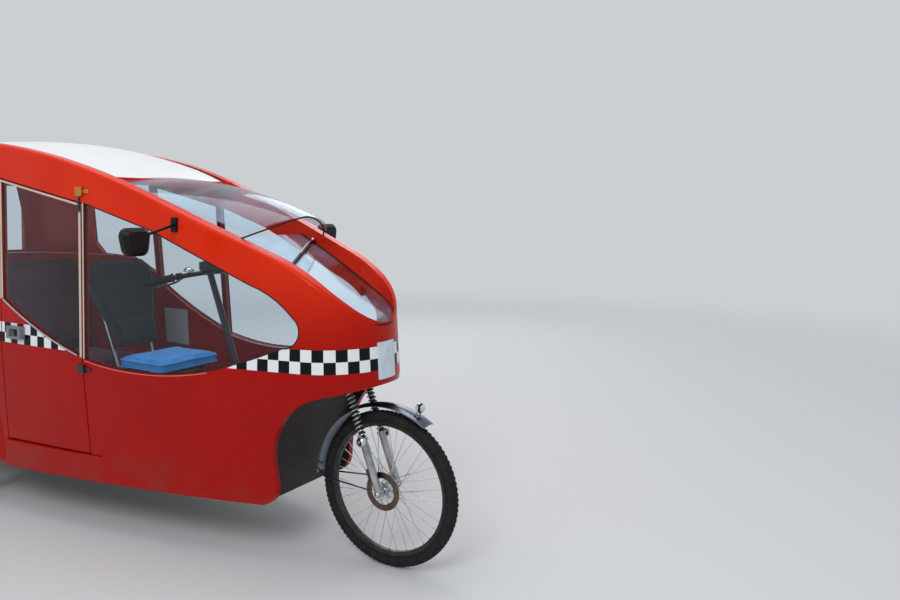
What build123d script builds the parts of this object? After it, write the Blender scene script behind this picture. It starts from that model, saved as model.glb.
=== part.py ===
"""Three-wheeled cabin cycle rickshaw: moulded hull, two doors, steered front wheel, two rear wheels.

Millimetres. X points forward, Y to the left, Z up. While the pieces are drawn, X is measured from the
front axle, and the last step moves everything so that the origin lies on the ground under the middle
of the vehicle's length.
"""

from build123d import *
import os
from math import atan, cos, radians, sin, sqrt, tan

os.makedirs("parts", exist_ok=True)

# Wheels
FRONT_TYRE_RADIUS = 333
FRONT_TYRE_WIDTH = 52
REAR_TYRE_RADIUS = 254
REAR_TYRE_WIDTH = 50
REAR_AXLE_X = -2450
ARCH_RADIUS = 300
REAR_WHEEL_Y = 460

# Hull: half widths at the belt line, and how they change above and below it
TAIL_X = -3220
WIDEST_X = -2600
SHOULDER_X = -230
BELT_Z = 800
REAR_HALF_WIDTH = 500
NOSE_HALF_WIDTH = 280
TUMBLEHOME = 0.05
NOSE_TUCK = 0.14
ROOF_Z = 1840
WALL = 22
ARCH_WALL = 55
PANEL_SWELL = 18
EDGE_ROUND = 16
SEAT_GAP = 0.02

# Doors
DOOR_FRONT_X = -1370
DOOR_REAR_X = -1950
DOOR_BOTTOM_Z = 366
DOOR_GAP = 6
DOOR_TOP_GAP = 8
POST_WIDTH = 14
DOOR_WALL = 26
HINGE_X = -1362
HINGE_Z = (772, 1568)

# Steering: both pivots lean back by the same angle, so that the rod between their arms stays parallel
STEER_TILT = 20
FORK_OFFSET = 45
FORK_HALF_WIDTH = 66
COLUMN_POINT = (-940, 0, 970)
STEER_ARM = 80

# Drive
CRANK_X = -800
CRANK_Z = 500
CRANK_LENGTH = 150
PEDAL_SIZE = (70, 82, 24)
CHAIN_RING_RADIUS = 82
CHAIN_CASE_Y = (26, 50)

# The finished part's origin is under the middle of its length
ORIGIN_SHIFT_X = -(FRONT_TYRE_RADIUS + TAIL_X) / 2

NODES = {}


def add(name, *solids):
    """Keeps the solids of one node."""
    NODES[name] = list(solids)


def side_face(points):
    """A face in the X-Z plane from a list of corners, each (x, z)."""
    return make_face(Polyline([(x, 0, z) for x, z in points], close=True))


def side_prism(face, half_width=800):
    """Extrudes a side-view face across the vehicle."""
    return extrude(face, amount=half_width, dir=(0, 1, 0), both=True)


def side_arc(a, b, c):
    """An arc through three (x, z) points."""
    return ThreePointArc((a[0], 0, a[1]), (b[0], 0, b[1]), (c[0], 0, c[1]))


def side_line(a, b):
    return Line((a[0], 0, a[1]), (b[0], 0, b[1]))


def box(x0, x1, y0, y1, z0, z1):
    """A box from its lowest and highest coordinates."""
    return Pos((x0 + x1) / 2, (y0 + y1) / 2, (z0 + z1) / 2) * Box(x1 - x0, y1 - y0, z1 - z0)


def rod(a, b, radius):
    """A round bar between two points."""
    a, b = Vector(a), Vector(b)
    plane = Plane(origin=a, z_dir=b - a)
    return Solid.make_cylinder(radius, (b - a).length, plane)


def tube_run(points, radius):
    """Straight round bars joined by balls at the corners."""
    solid = rod(points[0], points[1], radius)
    for a, b in zip(points[1:], points[2:]):
        solid = solid + rod(a, b, radius) + Pos(*a) * Sphere(radius)
    return solid


def mirror_y(solid):
    return solid.mirror(Plane.XZ)


# Hull sections: plan outlines at three heights, each of arcs that meet smoothly
def plan_face(z, inset=0, swell=0):
    """Plan outline at a height; swell widens it at the rear and not at the nose."""
    above = max(z - BELT_Z, 0)
    below = max(BELT_Z - z, 0)
    widest = REAR_HALF_WIDTH - TUMBLEHOME * above - inset + swell
    nose = NOSE_HALF_WIDTH - TUMBLEHOME * above - NOSE_TUCK * below - inset
    tail = TAIL_X + inset + 0.06 * above + 0.12 * below
    side_angle = 2 * atan((widest - nose) / (SHOULDER_X - WIDEST_X))
    tip = SHOULDER_X + nose / tan((side_angle + radians(90)) / 2)
    bend = (tail + 190, widest - 35)
    corner = (tail + 30, widest - 200)

    def half(sign):
        shoulder = (SHOULDER_X, sign * nose, z)
        wide = (WIDEST_X, sign * widest, z)
        side = TangentArc(wide, shoulder, tangent=(1, 0, 0))
        quarter = TangentArc(wide, (bend[0], sign * bend[1], z), tangent=(-1, 0, 0))
        round_end = TangentArc(
            quarter @ 1, (corner[0], sign * corner[1], z), tangent=quarter % 1
        )
        return [side, quarter, round_end]

    front = ThreePointArc((SHOULDER_X, nose, z), (tip, 0, z), (SHOULDER_X, -nose, z))
    back = ThreePointArc((corner[0], corner[1], z), (tail, 0, z), (corner[0], -corner[1], z))
    return make_face([front, back] + half(1) + half(-1))


def hull(inset=0, swell=0):
    """The whole body's outer shape, closed, or a like shape further in or out."""
    return loft([plan_face(z, inset, swell) for z in (180, BELT_Z, 1900)], ruled=True)


# Side view: the roof line from the nose to the tail, and the line under the arch
ROOF_FRONT = (-1000, 1552)
ROOF_TOP = (-2531, ROOF_Z)


def profile_face():
    """The vehicle's outline from the side, without its wheels."""
    edges = [
        side_line((20, 787), (20, 1000)),
        side_arc((20, 1000), (-97, 1135), (-389, 1313)),
        side_line((-389, 1313), ROOF_FRONT),
        TangentArc(
            (ROOF_TOP[0], 0, ROOF_TOP[1]), (ROOF_FRONT[0], 0, ROOF_FRONT[1]), tangent=(1, 0, 0)
        ),
        side_arc(ROOF_TOP, (-2880, 1828), (-3130, 1790)),
        side_arc((-3130, 1790), (-3215, 1735), (-3240, 1640)),
        side_line((-3240, 1640), (-3240, 420)),
        side_arc((-3240, 420), (-3205, 340), (-3120, 310)),
        side_line((-3120, 310), (-2755, 262)),
        side_line((-2755, 262), (-1960, 233)),
        side_line((-1960, 233), (-460, 256)),
        side_arc((-460, 256), (-405, 290), (-387, 365)),
        side_line((-387, 365), (-387, 425)),
        side_arc((-387, 425), (-300, 664), (-110, 757)),
        side_line((-110, 757), (20, 787)),
    ]
    return make_face(edges)


# Lower edge of the roof arch in side view, columns are x and z
ARCH_LINE = [(-250, 1060), (-336, 1130), (-461, 1190), (-955, 1398), (-1350, 1515)]
ARCH_LINE += [(-1955, 1642), (-2600, 1690), (-3300, 1690)]
FRONT_SPLIT_X = -300


def under_arch(x):
    """Height of the roof arch's lower edge."""
    for (xa, za), (xb, zb) in zip(ARCH_LINE, ARCH_LINE[1:]):
        if xb <= x <= xa:
            return za + (zb - za) * (x - xa) / (xb - xa)


def arch_band_face():
    """Side view of the two arches, from the nose to the rear header."""
    low = ARCH_LINE[1:-1]
    return side_face(
        [(FRONT_SPLIT_X, 1100), (FRONT_SPLIT_X, 1500)]
        + [(-900, 1900), (-3040, 1900), (-3040, 1690)]
        + low[::-1]
    )


def front_window_face():
    """Side view of the fixed window beside the driver, rounded at its front tip."""
    rear = DOOR_FRONT_X + POST_WIDTH
    low_front = (-306, 941)
    high_front = (-262, 1066)
    edges = [
        side_arc(low_front, (-800, 801), (rear, 818)),
        side_line((rear, 818), (rear, under_arch(rear))),
        side_line((rear, under_arch(rear)), (-955, under_arch(-955))),
        side_line((-955, under_arch(-955)), (-461, 1189)),
        side_arc((-461, 1189), (-350, 1139), high_front),
        side_arc(high_front, (-236, 988), low_front),
    ]
    return make_face(edges)


def door_face():
    """Side view of one door, clear of the frame round it."""
    front = DOOR_FRONT_X - DOOR_GAP
    rear = DOOR_REAR_X + DOOR_GAP
    return side_face(
        [
            (front, DOOR_BOTTOM_Z + DOOR_GAP),
            (front, under_arch(front) - DOOR_TOP_GAP),
            (rear, under_arch(rear) - DOOR_TOP_GAP),
            (rear, DOOR_BOTTOM_Z + DOOR_GAP),
        ]
    )


def door_window_face():
    """Side view of the clear panel, down to behind the moulded lower half."""
    front = DOOR_FRONT_X - DOOR_GAP - POST_WIDTH
    rear = DOOR_REAR_X + DOOR_GAP + POST_WIDTH
    top = DOOR_TOP_GAP + 10
    return side_face(
        [
            (front, 780),
            (front, under_arch(front) - top),
            (rear, under_arch(rear) - top),
            (rear, 780),
        ]
    )


def door_panel_face():
    """Side view of the moulded lower half of a door."""
    front = DOOR_FRONT_X + 50
    rear = DOOR_REAR_X - 50
    edges = [
        side_line((rear, 200), (front, 200)),
        side_line((front, 200), (front, 806)),
        side_arc((front, 806), (-1660, 922), (rear, 1100)),
        side_line((rear, 1100), (rear, 200)),
    ]
    return make_face(edges)


def quarter_window_face():
    """Side view of the fixed window behind the door."""
    return side_face(
        [(-1980, 1120), (-1980, 1634), (-2560, 1672), (-2560, 1290), (-2480, 1218), (-2200, 1205)]
    )


HULL = hull()
HULL_WALL = hull(WALL)
HULL_ARCH = hull(ARCH_WALL)
PROFILE = side_prism(profile_face())
HULL_RAISED = hull(swell=PANEL_SWELL)


def rounded_body():
    """Hull and side outline together, with the long upper edges rounded."""
    body = HULL & PROFILE
    upper = [edge for edge in body.edges() if edge.center().Z > 1000 and abs(edge.center().Y) > 150]
    return fillet([edge for edge in upper if abs((edge @ 0).Z - (edge @ 1).Z) < 700], EDGE_ROUND)


BODY = rounded_body()

# Lower screen: one arc in side view, on a moulded flange round the nose
SCREEN_ARC = ((-8, 1022), (-262, 1163), (-680, 1365))
SCREEN_THICKNESS = 4
SCREEN_FLANGE = 16
FLANGE_THICKNESS = 18


def circle_through(a, b, c):
    """Centre and radius of the circle through three (x, z) points."""
    d = 2 * (a[0] * (b[1] - c[1]) + b[0] * (c[1] - a[1]) + c[0] * (a[1] - b[1]))
    squares = [p[0] ** 2 + p[1] ** 2 for p in (a, b, c)]
    x = (squares[0] * (b[1] - c[1]) + squares[1] * (c[1] - a[1]) + squares[2] * (a[1] - b[1])) / d
    z = (squares[0] * (c[0] - b[0]) + squares[1] * (a[0] - c[0]) + squares[2] * (b[0] - a[0])) / d
    return x, z, sqrt((a[0] - x) ** 2 + (a[1] - z) ** 2)


SCREEN_X, SCREEN_Z, SCREEN_RADIUS = circle_through(*SCREEN_ARC)


def screen_disc(lift):
    """Everything under the screen's surface, raised by lift, in side view."""
    disc = Rot(90, 0, 0) * Cylinder(SCREEN_RADIUS + lift, 1800)
    return Pos(SCREEN_X, 0, SCREEN_Z) * disc


def nose_plan(inset):
    """The screen's outline from above: rounded at the nose, then as wide as the arches allow."""
    tip = -8 - inset
    half = 197 - inset
    wide = 218 - inset
    left = [(-170, half), (-300, wide), (-1000, wide + 140), (-3040, 560)]
    right = [(x, -y) for x, y in left]
    outline = [
        ThreePointArc((*left[0], 0), (tip, 0, 0), (*right[0], 0)),
        Polyline([(x, y, 0) for x, y in right + left[::-1]]),
    ]
    return extrude(make_face(outline), amount=1200, dir=(0, 0, 1)).moved(Location((0, 0, 900)))


NOSE_BLOCK = box(-300, 100, -400, 400, 900, 2000)


def screen_opening():
    """What the arches leave open: all above the lower screen, as far back as the rear header."""
    return (nose_plan(0) & (HULL_ARCH + NOSE_BLOCK)) - screen_disc(0)


OPENING = screen_opening()


def cabin_void():
    """The hollow inside the thin walls, open at the front wheel and through the screen's flange."""
    outline = make_face(
        [
            side_line((-30, 200), (-30, 1200)),
            side_line((-30, 1200), (-340, 1900)),
            side_line((-340, 1900), (-3100, 1900)),
            side_line((-3100, 1900), (-3300, 1600)),
            side_line((-3300, 1600), (-3300, 200)),
            side_line((-3300, 200), (-30, 200)),
        ]
    )
    inside = HULL_WALL & side_prism(outline)
    under_screen = inside & screen_disc(-FLANGE_THICKNESS)
    behind_nose = inside & box(-3300, -320, -700, 700, 150, 2000)
    return under_screen + behind_nose


VOID = cabin_void()


# Slots beside each door seam for the pale posts: front and rear
POST_SLOTS = box(DOOR_FRONT_X - 1, DOOR_FRONT_X + POST_WIDTH, -600, 600, 818, 1700) + box(
    DOOR_REAR_X - POST_WIDTH, DOOR_REAR_X + 1, -600, 600, 1060, 1700
)


def main_solid(shape):
    """The largest solid of a cut shape."""
    return sorted(shape.solids(), key=lambda solid: solid.volume)[-1]


# Where the crease of the lower front panel leaves the level of the door sill
CREASE_FOOT_X = -1290


def raised_panel_face():
    """Side view of the lower front panel, which stands proud below its curved crease."""
    edges = [
        side_line((DOOR_FRONT_X, 150), (DOOR_FRONT_X, DOOR_BOTTOM_Z)),
        side_line((DOOR_FRONT_X, DOOR_BOTTOM_Z), (CREASE_FOOT_X, DOOR_BOTTOM_Z)),
        side_arc((CREASE_FOOT_X, DOOR_BOTTOM_Z), (-1060, 582), (-717, 782)),
        side_line((-717, 782), (-468, 899)),
        side_line((-468, 899), (SHOULDER_X, 945)),
        side_line((SHOULDER_X, 945), (SHOULDER_X, 150)),
        side_line((SHOULDER_X, 150), (DOOR_FRONT_X, 150)),
    ]
    return make_face(edges)


def front_body():
    """Nose and front sides in one moulding, cut for the side windows and the screen."""
    region = side_face(
        [
            (100, 150),
            (100, 1400),
            (FRONT_SPLIT_X, 1400),
            (FRONT_SPLIT_X, 1100),
            (-336, under_arch(-336)),
            (-461, under_arch(-461)),
            (-955, under_arch(-955)),
            (DOOR_FRONT_X, under_arch(DOOR_FRONT_X)),
            (DOOR_FRONT_X, 150),
        ]
    )
    raised = HULL_RAISED & PROFILE & side_prism(raised_panel_face())
    shell = (BODY + raised) & side_prism(region)
    shell = shell - VOID - OPENING
    flange_hole = nose_plan(SCREEN_FLANGE) & box(-320, 100, -400, 400, 900, 1400)
    return main_solid(shell - flange_hole - side_prism(front_window_face()) - POST_SLOTS)


def roof_arches():
    """The two arches, the bar between them at the screen and the header over the rear window."""
    band = (BODY & side_prism(arch_band_face())) - HULL_ARCH - OPENING - side_prism(front_window_face())
    header = BODY & box(-3300, -3040, -600, 600, 1690, 1900)
    pocket = HULL_ARCH & box(-3180, -3039, -600, 600, 1600, 1770)
    crossbar = box(-1236, -1206, -420, 420, 1600, 1630) & hull(ARCH_WALL - 4)
    return band + (header - pocket) + crossbar


REAR_SEAM_Z = 1212


def rear_shell():
    """Quarter panels and tail, with the wheel arches cut and the window openings left out."""
    upper_edge = [(-3300, 1690), (-2600, 1690), (-1955, 1642), (DOOR_REAR_X, 1640)]
    lower = side_face([(-3300, 150)] + upper_edge + [(DOOR_REAR_X, 150)])
    flare = rear_flare()
    shell = ((BODY & side_prism(lower)) + flare + mirror_y(flare)) - VOID
    arch = Pos(REAR_AXLE_X, 0, REAR_TYRE_RADIUS) * Rot(90, 0, 0) * Cylinder(ARCH_RADIUS, 1400)
    return shell - arch - side_prism(quarter_window_face()) - rear_window_block() - POST_SLOTS


def rear_body_parts():
    """The shell in two mouldings that meet at a level seam."""
    shell = rear_shell()
    low = shell & box(-3400, -1900, -700, 700, 100, REAR_SEAM_Z - 1)
    high = shell & box(-3400, -1900, -700, 700, REAR_SEAM_Z + 1, 1800)
    return low, high


# Wings over the rear wheels: columns are height, bulge at the axle and half length
REAR_FLARE = [(262, 52, 480), (430, 50, 470), (660, 6, 420)]


def rear_flare():
    """Wing over one rear wheel, fading into the side above it."""
    sections = []
    for z, bulge, half_length in REAR_FLARE:
        front = REAR_AXLE_X + half_length
        back = REAR_AXLE_X - half_length
        front_y = hull_half_width(front, z) - 2
        back_y = hull_half_width(back, z) - 2
        middle_y = hull_half_width(REAR_AXLE_X, z)
        arc = ThreePointArc((front, front_y, z), (REAR_AXLE_X, middle_y + bulge, z), (back, back_y, z))
        inner = [
            Line((back, back_y, z), (back, back_y - 16, z)),
            Line((back, back_y - 16, z), (REAR_AXLE_X, middle_y - 16, z)),
            Line((REAR_AXLE_X, middle_y - 16, z), (front, front_y - 16, z)),
            Line((front, front_y - 16, z), (front, front_y, z)),
        ]
        sections.append(make_face([arc] + inner))
    return loft(sections, ruled=True)


def rear_window_block():
    return box(-3400, -3100, -330, 330, 1230, 1640)


def sills():
    """Step under each door, standing proud of it."""
    region = box(DOOR_REAR_X + 0.5, DOOR_FRONT_X - 0.5, -700, 700, 150, DOOR_BOTTOM_Z)
    outer = HULL_RAISED & PROFILE
    return (outer & region) - HULL_WALL


def floor_pan():
    """Flat floor on the frame's spine, from the front wheel's liner to the bench."""
    return hull(WALL + SEAT_GAP) & box(-2010 + SEAT_GAP, -470 - SEAT_GAP, -600, 600, 266, 280 - SEAT_GAP)


def wheel_arch_liner():
    """Dark wall between the front wheel and the cabin, with a cheek on each side of the wheel."""
    back = [
        side_line((-60, 834), (-254, 814)),
        side_arc((-254, 814), (-386, 644), (-440, 420)),
        side_line((-440, 420), (-470, 265)),
    ]
    wall_face = make_face(
        [
            side_line((-470, 265), (-452, 265)),
            side_line((-452, 265), (-432, 420)),
            side_arc((-432, 420), (-378, 640), (-250, 806)),
            side_line((-250, 806), (-60, 826)),
            side_line((-60, 826), (-60, 834)),
        ]
        + back
    )
    cheek_face = make_face(
        [
            side_line((-470, 265), (-384, 265)),
            side_line((-384, 265), (-384, 425)),
            side_arc((-384, 425), (-297, 661), (-108, 754)),
            side_line((-108, 754), (-60, 765)),
            side_line((-60, 765), (-60, 834)),
        ]
        + back
    )
    inside = hull(WALL + SEAT_GAP)
    wall = side_prism(wall_face) & inside
    cheeks = side_prism(cheek_face) & (inside - hull(WALL + 4)) & PROFILE
    foot = on_axis(STEER_FOOT, 700)
    return wall + cheeks - rod(foot, on_axis(STEER_FOOT, 950), 34)


def windscreen_lower():
    sheet = screen_disc(SCREEN_THICKNESS) - screen_disc(0)
    inside = (HULL_ARCH + NOSE_BLOCK) & nose_plan(0.5)
    return sheet & inside & box(-690, 100, -500, 500, 900, 1500)


# Upper screen: arcs across the vehicle, columns are x, side height, middle height, half width
UPPER_SCREEN = [
    (-400, 1262, 1455, 300),
    (-620, 1345, 1530, 330),
    (-900, 1460, 1600, 370),
    (-1205, 1602, 1632, 400),
]


def arc_section(x, side_z, middle_z, half_width, thickness):
    top = ThreePointArc((x, -half_width, side_z), (x, 0, middle_z), (x, half_width, side_z))
    under = ThreePointArc(top @ 1, top @ 0.5, top @ 0).moved(Location((0, 0, -thickness)))
    return make_face([top, under, Line(top @ 1, under @ 0), Line(under @ 1, top @ 0)])


def windscreen_upper():
    bubble = loft([arc_section(*row, SCREEN_THICKNESS) for row in UPPER_SCREEN])
    front_edge = make_face(
        [
            ThreePointArc((-607, 315, 0), (-413, 0, 0), (-607, -315, 0)),
            Line((-607, -315, 0), (-660, -420, 0)),
            Line((-660, -420, 0), (-1205, -420, 0)),
            Line((-1205, -420, 0), (-1205, 420, 0)),
            Line((-1205, 420, 0), (-660, 420, 0)),
            Line((-660, 420, 0), (-607, 315, 0)),
        ]
    )
    keep = extrude(front_edge, amount=900, dir=(0, 0, 1)).moved(Location((0, 0, 1000)))
    return bubble & keep & HULL_ARCH


# Roof panel, the same columns
ROOF_SECTIONS = [
    (-1236, 1606, 1640, 400),
    (-1500, 1690, 1742, 410),
    (-2300, 1806, 1850, 430),
    (-3040, 1790, 1820, 430),
]


def roof_panel():
    return loft([arc_section(*row, 6) for row in ROOF_SECTIONS]) & HULL_ARCH


def side_glass(face, outer_inset=7, thickness=4):
    sheet = (hull(outer_inset) - hull(outer_inset + thickness)) & side_prism(face)
    return sheet


def left_of(solid):
    return solid & box(-4000, 500, 1, 900, 0, 2500)


def right_of(solid):
    return solid & box(-4000, 500, -900, -1, 0, 2500)


def window_posts():
    """Pale upright posts on the body side of each door seam."""
    front_top = under_arch(DOOR_FRONT_X + POST_WIDTH) - 0.5
    front = box(DOOR_FRONT_X, DOOR_FRONT_X + POST_WIDTH, -600, 600, 818, front_top)
    rear = box(DOOR_REAR_X - POST_WIDTH, DOOR_REAR_X, -600, 600, 1060, under_arch(DOOR_REAR_X) - 0.5)
    ring = hull(2) - HULL_WALL
    return [ring & front, ring & rear]


def one_side(solid, side):
    return left_of(solid) if side > 0 else right_of(solid)


DOOR_INSIDE = hull(DOOR_WALL)
DOOR_PANEL = door_panel_face()


def door(side):
    """Moulded lower half of a door."""
    shell = (HULL - DOOR_INSIDE) & side_prism(door_face()) & side_prism(DOOR_PANEL)
    return one_side(shell, side)


def door_posts(side):
    """Frame round a door's clear panel."""
    ring = (HULL - DOOR_INSIDE) & side_prism(door_face())
    frame = ring - side_prism(DOOR_PANEL) - side_prism(door_window_face())
    return one_side(frame, side)


def door_window(side):
    return one_side(side_glass(door_window_face()) - side_prism(DOOR_PANEL), side)


def hull_half_width(x, z):
    """Half width of the hull's side at a height, ahead of and behind its widest place."""
    above = max(z - BELT_Z, 0)
    below = max(BELT_Z - z, 0)
    widest = REAR_HALF_WIDTH - TUMBLEHOME * above
    dx = x - WIDEST_X
    if dx < 0:
        bend_run = WIDEST_X - (TAIL_X + 190 + 0.06 * above + 0.12 * below)
        return widest - 35 * (dx / bend_run) ** 2
    nose = NOSE_HALF_WIDTH - TUMBLEHOME * above - NOSE_TUCK * below
    run = SHOULDER_X - WIDEST_X
    drop = widest - nose
    arc_radius = (run * run + drop * drop) / (2 * drop)
    return widest - (arc_radius - sqrt(arc_radius**2 - dx * dx))


HINGE_OUT = 9


def hinge_axis_point(z, side, along=0):
    """Point on a door's hinge line, which leans in with the side of the hull."""
    low, high = HINGE_Z
    low_y = hull_half_width(HINGE_X, low) + HINGE_OUT
    high_y = hull_half_width(HINGE_X, high) + HINGE_OUT
    level = z + along
    y = low_y + (high_y - low_y) * (level - low) / (high - low)
    return (HINGE_X, side * y, level)


CLOSE_HULL = hull(-1)


def door_handle(side):
    """Grip plate that follows the door's surface, with a finger hollow."""
    plate = hull(-24) & box(-1872, -1768, 300, 700, 876, 936)
    hollow = box(-1852, -1788, 300, 700, 888, 924) - hull(-8)
    grip = plate - HULL - hollow
    return grip if side > 0 else mirror_y(grip)


BARREL_RADIUS = 7
PIN_RADIUS = 3
BARREL_HALF = 8
KNUCKLE_END = 20
LEAF_LENGTH = 44
# The upper hinge is on the arch: a strap joins its rear leaf to the door's post
STRAP_X = (-1389, -1377)


def hinge_leaf(side, z, direction, z0, z1):
    """Flat leaf from a hinge barrel along the body, forward or backward."""
    x, y, _ = hinge_axis_point(z, side)
    inner = abs(y) - HINGE_OUT - 8
    outer = abs(y) - 1
    x0, x1 = sorted((x + direction * 4, x + direction * LEAF_LENGTH))
    low, high = sorted((side * inner, side * outer))
    plate = box(x0, x1, low, high, z + z0, z + z1) & hull(-5)
    return plate - (HULL if direction > 0 else CLOSE_HULL)


def hinge_bar(z, side, low, high, radius):
    """Round bar on the hinge line, from low to high beside the hinge at height z."""
    return rod(hinge_axis_point(z, side, low), hinge_axis_point(z, side, high), radius)


def door_hinges():
    """The body's half of each hinge, with its pin."""
    solids = []
    for side in (1, -1):
        for z in HINGE_Z:
            barrel = hinge_bar(z, side, -BARREL_HALF, BARREL_HALF, BARREL_RADIUS)
            pin = hinge_bar(z, side, -KNUCKLE_END, KNUCKLE_END, PIN_RADIUS)
            leaf = hinge_leaf(side, z, 1, -BARREL_HALF, BARREL_HALF)
            solids.append(barrel + pin + leaf)
    return solids


def door_hinge_halves(side):
    """The door's half of each hinge: two knuckles on a leaf, the upper one with its strap."""
    solids = []
    for z in HINGE_Z:
        half = hinge_leaf(side, z, -1, -KNUCKLE_END, KNUCKLE_END)
        if z > under_arch(HINGE_X):
            low, high = sorted((side * 300, side * 600))
            strap = box(*STRAP_X, low, high, 1478, z) & hull(-5)
            door_top = under_arch(DOOR_FRONT_X) - DOOR_TOP_GAP - 2
            over_arch = box(-1500, -1300, low, high, door_top, 1700)
            half = half + (strap - HULL - (CLOSE_HULL & over_arch))
        else:
            leaf_end = HINGE_X - LEAF_LENGTH
            low, high = sorted((side * 300, side * 600))
            seat = box(leaf_end, leaf_end + 22, low, high, z - KNUCKLE_END, z + KNUCKLE_END)
            half = half + ((seat & CLOSE_HULL) - HULL)
        for low, high in ((-KNUCKLE_END, -BARREL_HALF - 1), (BARREL_HALF + 1, KNUCKLE_END)):
            half = half + hinge_bar(z, side, low, high, BARREL_RADIUS)
        gap = hinge_bar(z, side, -BARREL_HALF - 1, BARREL_HALF + 1, BARREL_RADIUS + 5)
        half = half - gap - hinge_bar(z, side, -50, 50, PIN_RADIUS + 0.08)
        solids.append(main_solid(half))
    return solids


# Steering geometry
TILT = radians(STEER_TILT)
STEER_DIR = Vector(-sin(TILT), 0, cos(TILT))
STEER_SIDE = Vector(cos(TILT), 0, sin(TILT))
HUB = Vector(0, 0, FRONT_TYRE_RADIUS)
STEER_FOOT = HUB - STEER_SIDE * FORK_OFFSET


def on_axis(foot, height):
    """Point of the steering direction through foot at a height above the ground."""
    return foot + STEER_DIR * ((height - foot.Z) / cos(TILT))


def wheel_rim(radius_outer, radius_inner, width):
    profile = make_face(
        Polyline(
            [
                (radius_inner, -width * 0.32),
                (radius_outer, -width / 2),
                (radius_outer, width / 2),
                (radius_inner, width * 0.32),
            ],
            close=True,
        )
    )
    return revolve(profile, Axis.Y, 360)


# Tyre section: distance in from the tread's top and half width, both as shares of the tyre's width
TYRE_SECTION = [(0, 0.24), (0.3, 0.5), (0.92, 0.27)]


def tyre(radius, width):
    """Tyre with a flat crown and plain flanks, seated on the rim."""
    flank = [(radius - drop * width, half * width) for drop, half in TYRE_SECTION]
    points = flank + [(r, -y) for r, y in flank[::-1]]
    section = make_face(Polyline(points, close=True))
    return revolve(section, Axis.Y, 360), radius - TYRE_SECTION[-1][0] * width


def spokes(rim_radius, flange_radius, flange_y, count, thickness=2.6):
    """Crossed spokes from the hub flanges to the rim."""
    solids = []
    for k in range(count):
        side = 1 if k % 2 else -1
        lean = 1 if (k // 2) % 2 else -1
        angle = radians(360 * k / count)
        start_angle = angle + lean * radians(62)
        a = Vector(flange_radius * cos(start_angle), side * flange_y, flange_radius * sin(start_angle))
        b = Vector(rim_radius * cos(angle), side * 2, rim_radius * sin(angle))
        plane = Plane(origin=a, z_dir=b - a)
        length = (b - a).length
        solids.append(extrude(plane * Rectangle(thickness, thickness), amount=length))
    return solids


def bored_hub(parts, bore):
    hub = parts[0]
    for extra in parts[1:]:
        hub = hub + extra
    return hub - Rot(90, 0, 0) * Cylinder(bore, 400)


def front_wheel():
    tread, seat = tyre(FRONT_TYRE_RADIUS, FRONT_TYRE_WIDTH)
    rim = wheel_rim(seat, seat - 17, 26)
    hub = Rot(90, 0, 0) * Cylinder(17, 88)
    flanges = [Pos(0, y, 0) * Rot(90, 0, 0) * Cylinder(32, 4) for y in (-28, 28)]
    disc = Pos(0, -40, 0) * Rot(90, 0, 0) * (Cylinder(82, 2.5) - Cylinder(56, 4))
    spider = [Pos(0, -40, 0) * Rot(0, 60 * k, 0) * box(0, 62, -1.2, 1.2, -5, 5) for k in range(6)]
    wheel = bored_hub([hub, rim, disc] + flanges + spider + spokes(seat - 8, 30, 28, 36), 6.3)
    place = Location((0, 0, FRONT_TYRE_RADIUS))
    return tread.moved(place), wheel.moved(place)


def rear_wheel(side):
    tread, seat = tyre(REAR_TYRE_RADIUS, REAR_TYRE_WIDTH)
    rim = wheel_rim(seat, seat - 16, 28)
    hub = Rot(90, 0, 0) * Cylinder(22, 74)
    flanges = [Pos(0, y, 0) * Rot(90, 0, 0) * Cylinder(40, 4) for y in (-26, 26)]
    wheel = bored_hub([hub, rim] + flanges + spokes(seat - 8, 38, 26, 36, 3), 10.3)
    place = Location((REAR_AXLE_X, side * REAR_WHEEL_Y, REAR_TYRE_RADIUS))
    return tread.moved(place), wheel.moved(place)


CROWN_Z = 730
HEAD_LOW_Z = 792
HEAD_HIGH_Z = 905
ARM_Z = 935
SLIDER_LENGTH = 232
STANCHION_LENGTH = 466


def steering_arm(centre):
    """Flat arm from a steering pivot out to its rod's pin."""
    plane = Plane(origin=centre, x_dir=STEER_SIDE, z_dir=STEER_DIR)
    slot = Pos(0, STEER_ARM / 2) * SlotCenterToCenter(STEER_ARM, 28, rotation=90)
    return extrude(plane * slot, amount=8)


def fork():
    """Two sliders on stanchions, a crown, and the steerer with its arm."""
    crown_foot = on_axis(STEER_FOOT, CROWN_Z)
    plane = Plane(origin=crown_foot, x_dir=STEER_SIDE, z_dir=STEER_DIR)
    solid = extrude(plane * Pos(20, 0) * RectangleRounded(88, 176, 22), amount=32)
    solid = solid + rod(crown_foot + STEER_DIR, on_axis(STEER_FOOT, ARM_Z + 12), 14)
    arm_centre = on_axis(STEER_FOOT, ARM_Z)
    arm = steering_arm(arm_centre)
    pin_point = arm_centre + Vector(0, STEER_ARM, 0)
    solid = solid + arm + rod(pin_point, pin_point + STEER_DIR * 30, 4)
    for side in (1, -1):
        foot = HUB + Vector(0, side * FORK_HALF_WIDTH, 0)
        knee = foot + STEER_DIR * SLIDER_LENGTH
        solid = solid + rod(foot + STEER_DIR * 4, knee, 16)
        solid = solid + rod(knee - STEER_DIR * 10, foot + STEER_DIR * STANCHION_LENGTH, 12)
        solid = solid + rod(foot + Vector(0, -11, 0), foot + Vector(0, 11, 0), 17)
        solid = solid + rod(knee - STEER_DIR * 8, knee, 22)
    return solid - rod((0, -200, FRONT_TYRE_RADIUS), (0, 200, FRONT_TYRE_RADIUS), 6.1)


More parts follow.
